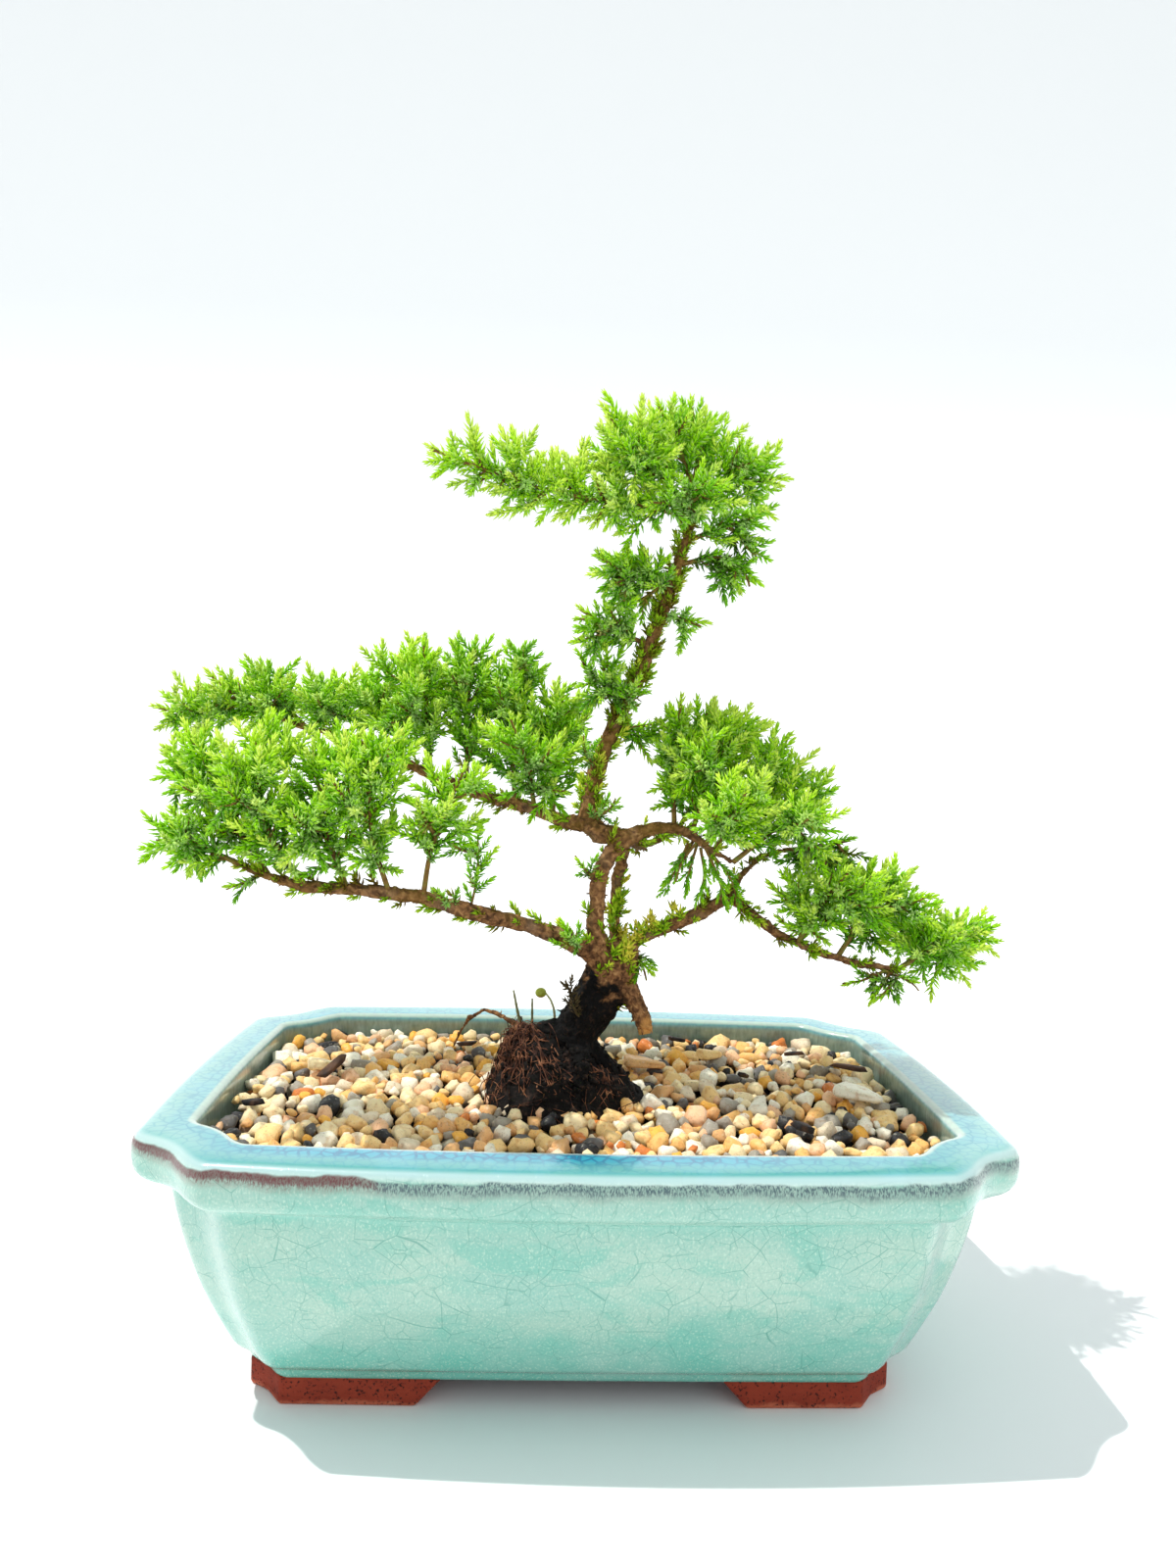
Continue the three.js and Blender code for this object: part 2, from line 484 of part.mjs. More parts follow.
// Each leafy stem: the route of its main shoot from the wood to its tip, then the side sprays,
// each as the share of the route where it leaves and the place of its tip.
const LEAFY_STEMS = {
  apex_tongue: [[[32, 4, 270], [12, -6, 271], [-14, -14, 272], [-38, -21, 277], [-56, -25, 282]],
    [[0.34, -3, -12, 260], [0.45, -15, -2, 289], [0.55, -24, -24, 264], [0.66, -28, -12, 293],
      [0.74, -43, -20, 270]]],
  apex_left: [[[32, 4, 274], [18, -4, 283], [7, -10, 292], [0, -12, 303]],
    [[0.4, -6, 2, 290], [0.5, 9, -28, 281]]],
  apex_top: [[[33, 4, 279], [27, 1, 292], [17, -2, 309]],
    [[0.4, 9, 13, 303], [0.5, 30, -11, 303]]],
  apex_back: [[[33, 5, 281], [35, 10, 296], [31, 14, 314]],
    [[0.4, 45, 32, 306], [0.5, 22, 26, 306]]],
  apex_right: [[[32, 4, 275], [45, 10, 285], [58, 18, 299]],
    [[0.5, 67, 7, 286], [0.4, 48, -4, 297]]],
  apex_front: [[[31, 4, 267], [30, -10, 271], [24, -25, 277]],
    [[0.5, 41, -18, 280], [0.6, 12, -24, 268]]],
  apex_low_right: [[[31, 5, 262], [45, 2, 267], [59, -6, 272]],
    [[0.5, 58, 14, 262]]],
  apex_hanging: [[[29, 6, 254], [42, 6, 257], [51, 4, 252], [54, 3, 243]],
    [[0.6, 46, -5, 246]]],
  column_right: [[[24, 8, 237], [32, 3, 235], [40, -2, 231]], []],
  column_top: [[[27, 8, 246], [15, 3, 248], [-1, -5, 255]],
    [[0.5, 13, 25, 252]]],
  column_middle: [[[20, 9, 227], [8, 4, 231], [-8, 0, 239]],
    [[0.5, -8, -10, 226]]],
  column_low: [[[14, 10, 209], [6, 10, 213], [-4, 12, 220]],
    [[0.4, 3, -6, 207]]],
  column_behind: [[[9, 9, 198], [18, 17, 199], [27, 22, 201]],
    [[0.4, 25, 15, 185]]],
  column_foot: [[[4, 6, 184], [-1, -3, 190], [-2, -12, 198]], []],
  upper_left_inner: [[[-11, 6, 167], [-10, 18, 188], [-8, 22, 215]],
    [[0.5, -14, 52, 202], [0.6, 3, 34, 206]]],
  upper_left_front: [[[-17, 9, 169], [-20, -4, 185], [-27, -15, 203]],
    [[0.3, -3, -9, 177], [0.4, -10, -16, 194]]],
  upper_left_second: [[[-24, 12, 171], [-26, 26, 200], [-22, 32, 231]],
    [[0.5, -32, 8, 214], [0.6, -22, 52, 213]]],
  upper_left_third: [[[-41, 18, 175], [-42, 24, 202], [-40, 28, 232]],
    [[0.5, -50, 46, 214], [0.6, -49, 10, 218]]],
  upper_left_fourth: [[[-54, 23, 179], [-56, 20, 204], [-58, 20, 229]],
    [[0.4, -67, 2, 207], [0.5, -70, 26, 224]]],
  upper_left_fifth: [[[-69, 27, 186], [-75, 36, 202], [-76, 40, 219]],
    [[0.5, -84, 24, 212], [0.5, -62, 58, 208]]],
  upper_left_sixth: [[[-89, 30, 193], [-93, 40, 205], [-94, 46, 217]],
    [[0.4, -92, 6, 206], [0.5, -106, 50, 207]]],
  upper_left_seventh: [[[-100, 31, 195], [-112, 32, 207], [-117, 33, 221]],
    [[0.4, -112, 8, 206]]],
  upper_left_tip: [[[-104, 32, 196], [-120, 26, 203], [-134, 20, 214]],
    [[0.5, -148, 6, 200], [0.4, -130, 38, 200]]],
  lower_left_riser: [[[-36, -25, 139], [-34, -23, 152], [-35, -22, 173]],
    [[0.4, -26, -20, 163], [0.5, -45, -36, 164]]],
  lower_left_drop: [[[-40, -26, 140], [-45, -34, 145], [-48, -40, 148]], []],
  lower_left_first: [[[-50, -30, 144], [-46, -42, 162], [-36, -46, 187]],
    [[0.5, -50, -58, 177], [0.7, -30, -32, 186]]],
  lower_left_second: [[[-60, -32, 145], [-64, -44, 165], [-65, -54, 195]],
    [[0.6, -54, -36, 199], [0.5, -74, -64, 183]]],
  lower_left_third: [[[-72, -35, 146], [-78, -40, 165], [-83, -40, 193]],
    [[0.4, -84, -64, 172], [0.6, -72, -26, 198]]],
  lower_left_fourth: [[[-84, -37, 147], [-94, -46, 166], [-97, -50, 194]],
    [[0.5, -104, -62, 180], [0.6, -98, -24, 200]]],
  lower_left_fifth: [[[-94, -38, 149], [-108, -32, 168], [-125, -28, 196]],
    [[0.6, -136, -16, 181], [0.5, -110, -12, 188]]],
  lower_left_tip: [[[-103, -38, 153], [-116, -38, 159], [-128, -34, 167]],
    [[0.5, -122, -28, 148], [0.5, -120, -50, 172]]],
  lower_left_low: [[[-97, -38, 150], [-104, -42, 147], [-110, -42, 144]], []],
  right_middle_left: [[[29, -8, 166], [29, 1, 188], [32, 6, 211]],
    [[0.6, 46, 14, 212], [0.5, 27, -16, 194]]],
  right_middle_top: [[[34, -12, 164], [41, -6, 184], [50, 0, 207]],
    [[0.5, 32, -30, 190], [0.6, 58, 16, 209]]],
  right_middle_right: [[[41, -15, 159], [55, -5, 178], [71, 9, 199]],
    [[0.6, 60, -18, 193], [0.5, 76, 18, 186]]],
  right_middle_front: [[[38, -14, 161], [43, -32, 170], [46, -47, 182]],
    [[0.4, 56, -32, 186], [0.6, 32, -42, 174]]],
  right_middle_outer: [[[47, -18, 156], [64, -12, 169], [83, -2, 185]],
    [[0.5, 66, -42, 173], [0.4, 74, -20, 178]]],
  right_middle_back: [[[32, 10, 163], [46, 28, 182], [64, 40, 201]],
    [[0.5, 36, 42, 199]]],
  right_hanging: [[[36, -13, 162], [30, -18, 154], [28, -20, 145]],
    [[0.4, 41, -22, 146]]],
  right_lower_inner: [[[69, 8, 158], [84, 10, 160], [97, 9, 163]],
    [[0.3, 72, -16, 163]]],
  right_lower_front: [[[70, -13, 130], [76, -24, 146], [82, -34, 158]],
    [[0.5, 66, -32, 145], [0.6, 94, -40, 146]]],
  right_lower_top: [[[83, -15, 126], [94, -11, 142], [104, -6, 157]],
    [[0.5, 90, 4, 153], [0.5, 112, -24, 149]]],
  right_lower_tip: [[[101, -20, 123], [116, -10, 129], [131, 2, 131], [148, 10, 127]],
    [[0.4, 110, 22, 137], [0.5, 122, -22, 138], [0.6, 128, 18, 119]]],
  right_lower_drop: [[[96, -19, 123], [104, -26, 120], [108, -28, 114]],
    [[0.3, 90, -24, 112]]],
  knot_tuft: [[[1, -1, 167], [7, -10, 171], [10, -18, 178]], []],
  front_stem_tuft: [[[3, -12, 149], [-1, -16, 153], [-6, -18, 160]], []],
  crotch_tuft_left: [[[0, -10, 126], [-5, -20, 130], [-10, -25, 137]], []],
  crotch_tuft_front: [[[8, -3, 116], [6, -12, 120], [5, -19, 126]], []],
  crotch_tuft_right: [[[16, -2, 123], [22, -7, 119], [28, -9, 113]],
    [[0.3, 30, -12, 124]]],
};

// The centre line of one shoot, with the arc length over which it carries needles
function shoot(points, needled) {
  const curve = new THREE.CatmullRomCurve3(points, false, 'centripetal');
  const length = curve.getLength();
  return { curve, length, bare: Math.max(length - needled, LEAST_BARE * length) };
}

// A side spray bends upward on its way from the main shoot.
function sprayShoot(main, [share, ...tip]) {
  const start = main.curve.getPoint(share);
  const end = vector(tip);
  const bend = start.clone().lerp(end, 0.5);
  bend.z -= 0.08 * start.distanceTo(end);
  return shoot([start, bend, end], NEEDLED_SPRAY);
}

function stemShoots([route, sprays]) {
  const main = shoot(route.map(vector), NEEDLED_MAIN);
  return [main, ...sprays.map((spray) => sprayShoot(main, spray))];
}

// Stations along a shoot: long steps where it is bare, then one for each whorl of needles
function stations({ length, bare }) {
  const bareSteps = bare > 0 ? Math.max(Math.round(bare / BARE_BAND), 1) : 0;
  const needledSteps = Math.max(Math.round((length - bare) / BAND), 2);
  const bareStations = Array.from({ length: bareSteps }, (_, i) => (bare * i) / bareSteps);
  const needledStations = Array.from({ length: needledSteps + 1 }, (_, i) => (
    bare + ((length - bare) * i) / needledSteps
  ));
  return { bareSteps, marks: [...bareStations, ...needledStations] };
}

// The twig's facets: three-sided rings, each turned by a sixth of a turn against the last.
// A facet of the leafy part has the place of its needle's tip.
function twigFacets(twig, draw) {
  const { bareSteps, marks } = stations(twig);
  const shares = marks.map((mark) => Math.min(mark / twig.length, 1));
  const places = shares.map((share) => twig.curve.getUtoTmapping(share));
  const frames = framesAlong(twig.curve, places);
  const rings = frames.slice(0, -1).map((frame, ring) => {
    const radius = TWIG_RADIUS * (1.5 - 0.6 * shares[ring]);
    return [0, 1, 2].map((i) => ringPoint(frame, radius, (i * 2 * Math.PI) / 3 + (ring * Math.PI) / 3));
  });
  const facets = [];
  const addFacet = (corners, frame, spread, lean) => {
    const root = corners[0].clone().add(corners[1]).add(corners[2]).divideScalar(3);
    const outward = root.clone().sub(frame.point);
    outward.addScaledVector(frame.tangent, -outward.dot(frame.tangent)).normalize();
    const tip = root.clone()
      .addScaledVector(outward, spread * (0.88 + 0.24 * draw()))
      .addScaledVector(frame.tangent, lean * (0.88 + 0.24 * draw()));
    facets.push({ corners, root, tip, leafy: spread > 0 });
  };
  for (let ring = 0; ring + 1 < rings.length; ring += 1) {
    const leafy = ring >= bareSteps ? 1 : 0;
    const [lower, upper] = [rings[ring], rings[ring + 1]];
    for (let i = 0; i < 3; i += 1) {
      const next = (i + 1) % 3;
      addFacet([lower[i], lower[next], upper[i]], frames[ring], leafy * NEEDLE_SPREAD, NEEDLE_LEAN);
      addFacet([lower[next], upper[next], upper[i]], frames[ring], leafy * NEEDLE_SPREAD, NEEDLE_LEAN);
    }
  }
  const lastRing = rings[rings.length - 1];
  const bud = frames[frames.length - 1].point;
  for (let i = 0; i < 3; i += 1) {
    const corners = [lastRing[i], lastRing[(i + 1) % 3], bud];
    addFacet(corners, frames[frames.length - 2], NEEDLE_SPREAD / 2, NEEDLE_LEAN);
  }
  return { facets, base: rings[0] };
}

// Keeping the leafy stems clear of each other

// The least clearance between two tapered needles or twigs, sampled along both
function clearance(a, b) {
  const closest = (p, line) => {
    const along = line.end.clone().sub(line.start);
    const share = THREE.MathUtils.clamp(p.clone().sub(line.start).dot(along) / along.lengthSq(), 0, 1);
    const nearest = line.start.clone().addScaledVector(along, share);
    return p.distanceTo(nearest) - THREE.MathUtils.lerp(line.startRadius, line.endRadius, share);
  };
  let least = Infinity;
  for (const [one, other] of [[a, b], [b, a]]) {
    for (let step = 0; step <= 4; step += 1) {
      const share = step / 4;
      const p = one.start.clone().lerp(one.end, share);
      const radius = THREE.MathUtils.lerp(one.startRadius, one.endRadius, share);
      least = Math.min(least, closest(p, other) - radius);
    }
  }
  return least;
}

function isClear(line, others) {
  const middle = line.start.clone().lerp(line.end, 0.5);
  const reach = line.start.distanceTo(line.end) / 2 + 1;
  return others.every((other) => {
    const span = other.start.distanceTo(other.end) / 2 + 1;
    const apart = middle.distanceTo(other.start.clone().lerp(other.end, 0.5));
    return apart > reach + span || clearance(line, other) > GAP;
  });
}

function needleLine(facet) {
  return { start: facet.root, end: facet.tip, startRadius: 1.2, endRadius: 0.1 };
}

function twigLines(twig) {
  const count = Math.max(Math.ceil(twig.length / 4), 2);
  const points = twig.curve.getSpacedPoints(count);
  return points.slice(1).map((end, i) => ({
    start: points[i],
    end,
    startRadius: 1.5 * TWIG_RADIUS,
    endRadius: 1.5 * TWIG_RADIUS,
  }));
}

// A facet with a needle is drawn out to the needle's tip.
function twigSolid({ facets, base }) {
  const positions = [];
  for (const { corners: [a, b, c], tip, leafy } of facets) {
    if (leafy) {
      pushTriangle(positions, a, b, tip);
      pushTriangle(positions, b, c, tip);
      pushTriangle(positions, c, a, tip);
    } else {
      pushTriangle(positions, a, b, c);
    }
  }
  pushTriangle(positions, base[0], base[2], base[1]);
  return solidFrom(geometryFrom(positions));
}

function buildFoliage(room) {
  const draw = seededDraw(1948);
  const stems = Object.entries(LEAFY_STEMS).map(([name, plan]) => ({ name, twigs: stemShoots(plan) }));
  const needles = [];
  return stems.map((stem) => {
    const cores = stems.filter((other) => other !== stem).flatMap((other) => other.twigs.flatMap(twigLines));
    const blockers = [...cores, ...needles];
    const solids = stem.twigs.map((twig) => {
      const shape = twigFacets(twig, draw);
      for (const facet of shape.facets) {
        facet.leafy = facet.leafy && isClear(needleLine(facet), blockers);
        if (facet.leafy) {
          needles.push(needleLine(facet));
        }
      }
      return twigSolid(shape);
    });
    return { name: stem.name, solid: joined(solids).subtract(room) };
  });
}

// Small dry plants beside the trunk

const SEEDLING = [[-8, 9.5, 88, 0.55], [-8, 9.5, 98, 0.5], [-9.2, 9.5, 103, 0.45], [-11.6, 9.5, 106.4, 0.4]];
const SEED_POD = { centre: [-13, 9.5, 106.2], radius: 1.9 };
const DEAD_STALKS = {
  dead_stalk_left: [[-18.3, 13, 82, 0.7], [-18.9, 13, 91.5, 0.6], [-20.7, 13, 98, 0.5], [-22.5, 13, 106, 0.4]],
  dead_stalk_right: [[-15.6, 12, 86, 0.6], [-15.7, 12, 95, 0.5], [-15.9, 12, 103.5, 0.4]],
};

function buildSeedling() {
  const pod = new THREE.SphereGeometry(SEED_POD.radius, 7, 5).rotateX(Math.PI / 2).translate(...SEED_POD.centre);
  return limb(SEEDLING, 4, 0).add(solidFrom(pod));
}

// The finished plant in its pot

function finish(color, roughness) {
  return new THREE.MeshStandardMaterial({ color, roughness, metalness: 0, flatShading: true });
}

const GLAZE = finish(0x9fd6cf, 0.18);
const SCREEN_PLASTIC = finish(0x1f2422, 0.6);
const SOIL = finish(0x2a1d17, 0.95);
const PEBBLES = finish(0xd9bf98, 0.6);
const BARK = finish(0x6b4a35, 0.9);
const DEAD_WOOD = finish(0x8a6a4c, 0.9);
const SEEDLING_GREEN = finish(0x9aa23c, 0.6);
const FOLIAGE = finish(0x4f9a3a, 0.6);

const bonsai = new THREE.Group();

function place(name, solid, material) {
  const mesh = new THREE.Mesh(geometryOf(largestBody(solid)), material);
  mesh.name = name;
  bonsai.add(mesh);
}

const screenPlaces = [-DRAIN_SPACING / 2, DRAIN_SPACING / 2];
const woodRoom = buildWood(GAP);
const stalkRooms = [...Object.values(DEAD_STALKS), SEEDLING].map((points) => limb(points, 4, GAP));
const rooted = joined([woodRoom, ...stalkRooms]);

place('pot', buildPot(), GLAZE);
place('drainage_screen_left', buildScreen(screenPlaces[0]), SCREEN_PLASTIC);
place('drainage_screen_right', buildScreen(screenPlaces[1]), SCREEN_PLASTIC);
place('soil', buildSoil(screenPlaces, rooted), SOIL);
place('gravel', buildGravel(rooted), PEBBLES);
place('juniper_wood', buildWood(0), BARK);
place('seedling', buildSeedling(), SEEDLING_GREEN);
for (const [name, points] of Object.entries(DEAD_STALKS)) {
  place(name, limb(points, 4, 0), DEAD_WOOD);
}
for (const { name, solid } of buildFoliage(woodRoom)) {
  place(`leafy_stem_${name}`, solid, FOLIAGE);
}

export default bonsai;
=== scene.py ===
# %% [markdown]
# # A flaky juniper bonsai in its glazed pot
#
# The real thing is a young juniper with a leaning trunk and tiers of foliage, in a low stoneware pot with
# a crackled celadon glaze. Pebbles cover the soil. The solids give every place and size, and here each of
# them gets the form and the finish that the eye sees. Everything is small, so it is modelled in
# millimetres, and each finished piece is scaled to metres last.

import math
import random

import bmesh
import bpy
from mathutils import Matrix, Vector, noise
from mathutils.bvhtree import BVHTree
from mathutils.kdtree import KDTree


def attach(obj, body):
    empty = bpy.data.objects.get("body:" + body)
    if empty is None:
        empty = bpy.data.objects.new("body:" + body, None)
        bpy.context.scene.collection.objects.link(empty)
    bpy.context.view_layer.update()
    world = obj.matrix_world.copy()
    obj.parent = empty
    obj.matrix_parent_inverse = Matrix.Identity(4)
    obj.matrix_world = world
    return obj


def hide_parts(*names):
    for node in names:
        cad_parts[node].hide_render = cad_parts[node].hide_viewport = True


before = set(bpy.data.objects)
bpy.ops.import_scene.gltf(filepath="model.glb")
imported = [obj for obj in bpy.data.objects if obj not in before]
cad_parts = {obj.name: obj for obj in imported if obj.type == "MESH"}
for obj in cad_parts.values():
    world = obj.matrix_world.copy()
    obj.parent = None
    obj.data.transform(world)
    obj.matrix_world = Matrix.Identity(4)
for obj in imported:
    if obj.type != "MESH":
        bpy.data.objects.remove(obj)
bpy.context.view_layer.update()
MM = 0.001
UP = Vector((0, 0, 1))


def add_object(name, data):
    made = bpy.data.objects.new(name, data)
    bpy.context.scene.collection.objects.link(made)
    return made


print("solids in the frame:", len(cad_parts))

# %% [markdown]
# The camera stands a little left of the middle and looks across the rim. Its place, its two angles and
# its slight roll were found by fitting the pot's rim and feet to the photograph. The lens is a wide one,
# held close. It comes first because nothing else depends on it.

# %% The camera
CAMERA_PLACE = Vector((-14.35, -357.4, 190.25)) * MM
CAMERA_YAW = math.radians(2.377)
CAMERA_PITCH = math.radians(1.805)
CAMERA_ROLL = math.radians(1.902)
LENS_LENGTH = 24.57

look = Vector((
    math.sin(CAMERA_YAW) * math.cos(CAMERA_PITCH),
    math.cos(CAMERA_YAW) * math.cos(CAMERA_PITCH),
    -math.sin(CAMERA_PITCH),
))
level = Vector((math.cos(CAMERA_YAW), -math.sin(CAMERA_YAW), 0))
to_right = level * math.cos(CAMERA_ROLL) + level.cross(look) * math.sin(CAMERA_ROLL)
lens = bpy.data.cameras.new("camera")
lens.lens = LENS_LENGTH
lens.clip_start = 0.01
camera = add_object("camera", lens)
turned = Matrix((to_right, to_right.cross(look), -look)).transposed().to_4x4()
camera.matrix_world = Matrix.Translation(CAMERA_PLACE) @ turned
bpy.context.scene.camera = camera
print("the camera looks along", tuple(round(part, 3) for part in look))

# %% [markdown]
# A finished piece is a mesh object at the origin, in metres, that rides on the one body of this object.
# One helper closes every model in the same way: it scales the model, gives it its finishes, hides the
# solids that it stands for and says how large it became.

# %% Finishing a piece


def to_mesh(model, name):
    mesh = bpy.data.meshes.new(name)
    model.to_mesh(mesh)
    model.free()
    return mesh


def make_piece(name, model, finishes, stands_for=()):
    """Turn a bmesh in millimetres into a piece of the object."""
    bmesh.ops.scale(model, vec=(MM, MM, MM), verts=model.verts)
    mesh = to_mesh(model, name)
    for finish in finishes:
        mesh.materials.append(finish.material)
    mesh.shade_smooth()
    piece = add_object(name, mesh)
    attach(piece, "root")
    if stands_for:
        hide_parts(*stands_for)
    triangles = sum(len(face.vertices) - 2 for face in mesh.polygons)
    print(f"{name}: {triangles} triangles")


print("a millimetre in metres:", MM)

# %% [markdown]
# A finish is a material made of nodes. Its patterns read Object coordinates, turned into millimetres
# first, so that a crack or a grain has a size that can be compared with the real one. This small class
# holds the few nodes that the finishes below have in common.

# %% A small kit for finishes


class Finish:
    """A principled material, with short calls for the nodes that shape it."""

    def __init__(self, name, roughness=0.5, specular=0.5):
        self.material = bpy.data.materials.new(name)
        self.material.use_nodes = True
        self.tree = self.material.node_tree
        self.shader = self.tree.nodes["Principled BSDF"]
        self.set("Roughness", roughness)
        self.set("Specular IOR Level", specular)
        coordinates = self.tree.nodes.new("ShaderNodeTexCoord").outputs["Object"]
        self.place = self.node("ShaderNodeMapping", Vector=coordinates, Scale=(1 / MM,) * 3).outputs[0]

    def set(self, socket, value):
        self.feed(self.shader.inputs[socket], value)

    def colour(self, value):
        self.set("Base Color", value)

    def bumps(self, height, depth, over=None):
        self.set("Normal", self.relief(height, depth, over))

    def feed(self, socket, value):
        if isinstance(value, bpy.types.NodeSocket):
            self.tree.links.new(value, socket)
        else:
            socket.default_value = value

    def node(self, kind, **values):
        made = self.tree.nodes.new(kind)
        for name, value in values.items():
            self.feed(made.inputs[name.replace("_", " ")], value)
        return made

    def grain(self, size, detail=2, vector=None, distortion=0.0):
        """Soft noise, from 0 to 1, with blotches as wide as size."""
        return self.node("ShaderNodeTexNoise", Vector=vector or self.place, Scale=1 / size,
                         Detail=detail, Distortion=distortion).outputs["Fac"]

    def net(self, size, vector=None):
        """The distance to the edges of a net of cells as wide as size, in cells."""
        made = self.node("ShaderNodeTexVoronoi", Vector=vector or self.place, Scale=1 / size)
        made.feature = "DISTANCE_TO_EDGE"
        return made.outputs["Distance"]

    def stretched(self, scale):
        return self.node("ShaderNodeMapping", Vector=self.place, Scale=scale).outputs[0]

    def warped(self, size, reach):
        """The place, shaken by noise, so that straight cell edges turn wavy."""
        shake = self.node("ShaderNodeTexNoise", Vector=self.place, Scale=1 / size, Detail=1.0)
        moved = self.node("ShaderNodeVectorMath")
        moved.operation = "MULTIPLY_ADD"
        self.feed(moved.inputs[0], shake.outputs["Color"])
        self.feed(moved.inputs[1], (reach, reach, reach))
        self.feed(moved.inputs[2], self.place)
        return moved.outputs[0]

    def attribute(self, name):
        made = self.tree.nodes.new("ShaderNodeAttribute")
        made.attribute_name = name
        return made.outputs["Fac"]

    def along(self, axis):
        return self.node("ShaderNodeSeparateXYZ", Vector=self.place).outputs[axis]

    def maths(self, kind, *values):
        made = self.tree.nodes.new("ShaderNodeMath")
        made.operation = kind
        for socket, value in zip(made.inputs, values):
            self.feed(socket, value)
        return made.outputs[0]

    def both(self, first, second):
        """A share that is high only where both of its parts are."""
        return self.maths("MULTIPLY", first, second)

    def band(self, value, start, full, still, end):
        """A share that rises from start to full, stays, and falls from still to end."""
        return self.both(self.fade(value, start, full), self.fade(value, end, still))

    def ragged(self, value, grain, reach, start=0.2, end=0.8):
        """A value, moved up or down by as much as reach, so that what follows it ends raggedly."""
        return self.maths("ADD", value, self.fade(grain, start, end, -reach, reach))

    def distance_to(self, spot):
        """How far the place is from a spot, in millimetres."""
        made = self.node("ShaderNodeVectorMath", Vector=self.place)
        made.operation = "DISTANCE"
        made.inputs[1].default_value = spot
        return made.outputs["Value"]

    def fade(self, value, start, end, first=0.0, last=1.0):
        """A soft step from first, where value is at start, to last, where it is at end."""
        made = self.tree.nodes.new("ShaderNodeMapRange")
        made.interpolation_type = "SMOOTHSTEP"
        for index, number in enumerate((value, start, end, first, last)):
            self.feed(made.inputs[index], number)
        return made.outputs["Result"]

    def mix(self, share, first, second, kind="MIX"):
        made = self.tree.nodes.new("ShaderNodeMix")
        made.data_type = "RGBA"
        made.blend_type = kind
        self.feed(made.inputs[0], share)
        self.feed(made.inputs[6], first)
        self.feed(made.inputs[7], second)
        return made.outputs[2]

    def ramp(self, value, stops, steps=False):
        """Colours along a value, each stop given as its place and a colour as a screen shows it."""
        made = self.node("ShaderNodeValToRGB", Fac=value)
        band = made.color_ramp
        band.interpolation = "CONSTANT" if steps else "LINEAR"
        while len(band.elements) < len(stops):
            band.elements.new(1.0)
        for element, (place, *colour) in zip(band.elements, stops):
            element.position = place
            element.color = paint(*colour)
        return made.outputs["Color"]

    def relief(self, height, depth, over=None):
        """Bumps as deep as depth, in millimetres, laid over other bumps if there are any."""
        made = self.node("ShaderNodeBump", Height=height, Distance=depth * MM)
        if over is not None:
            self.feed(made.inputs["Normal"], over)
        return made.outputs["Normal"]


def paint(red, green, blue):
    """A colour as a screen shows it, from 0 to 255, turned into the linear light that nodes use."""
    parts = [part / 255 for part in (red, green, blue)]
    linear = [part / 12.92 if part < 0.04045 else ((part + 0.055) / 1.055) ** 2.4 for part in parts]
    return (*linear, 1.0)


print("a mid grey in linear light:", round(paint(128, 128, 128)[0], 3))

# %% [markdown]
# The pot's wall, the roots and the twigs are all drawn along a line. In bmesh that is one ring of edges,
# extruded again and again, with each new ring moved to its own place. A curve through a few known points
# gives the places between them.

# %% Curves and extruded rings


def smooth_line(points, between):
    """Points of a Catmull-Rom curve through the given ones, with so many steps for each span."""
    points = [Vector(point) for point in points]
    ends = [2 * points[0] - points[1], *points, 2 * points[-1] - points[-2]]
    line = []
    for before, start, end, after in zip(ends, ends[1:], ends[2:], ends[3:]):
        for step in range(between):
            t = step / between
            line.append(0.5 * (
                2 * start
                + (end - before) * t
                + (2 * before - 5 * start + 4 * end - after) * t * t
                + (3 * start - before - 3 * end + after) * t * t * t
            ))
    return [*line, points[-1]]


def ring_edges(model, ring):
    return [model.edges.get(pair) for pair in zip(ring, ring[1:] + ring[:1])]


def next_ring(model, ring, places):
    """Extrude a closed ring of vertices and move the new one to its places."""
    made = bmesh.ops.extrude_edge_only(model, edges=ring_edges(model, ring))["geom"]
    fresh = {part for part in made if isinstance(part, bmesh.types.BMVert)}
    raised = []
    for vert, place in zip(ring, places):
        twin = next(far for far in (edge.other_vert(vert) for edge in vert.link_edges) if far in fresh)
        twin.co = place
        raised.append(twin)
    return raised


def first_ring(model, places):
    ring = [model.verts.new(place) for place in places]
    for pair in zip(ring, ring[1:] + ring[:1]):
        model.edges.new(pair)
    return ring


def frames_along(line):
    """A turned place for each point of a line, with Z along it and no needless twist."""
    side = (line[1] - line[0]).orthogonal()
    frames = []
    for before, point, after in zip([line[0], *line], line, [*line[1:], line[-1]]):
        ahead = (after - before).normalized()
        side = (side - ahead * side.dot(ahead)).normalized()
        turn = Matrix((side, ahead.cross(side), ahead)).transposed().to_4x4()
        frames.append(Matrix.Translation(point) @ turn)
    return frames


def add_tube(model, line, radii, sides):
    """A closed round rod along a line."""
    corners = [math.tau * side / sides for side in range(sides)]
    ring = None
    for here, radius in zip(frames_along(line), radii):
        places = [here @ Vector((radius * math.cos(a), radius * math.sin(a), 0)) for a in corners]
        if ring is None:
            ring = first_ring(model, places)
            model.faces.new(reversed(ring))
        else:
            ring = next_ring(model, ring, places)
    model.faces.new(ring)


def tapered(line, start, end):
    last = len(line) - 1
    return [start + (end - start) * index / last for index in range(len(line))]


corner = smooth_line([(0, 0, 0), (5, 0, 0), (5, 5, 0)], 4)
print("points in a curve through three:", len(corner))

# %% [markdown]
# ## The pot
#
# The pot's plan is a rectangle with bowed sides and a dent in each corner. Towards the foot it gets
# smaller, its sides get straighter and its dents shallower. It starts as a few corner points, and cutting
# its corners twice makes the soft line of pressed clay.

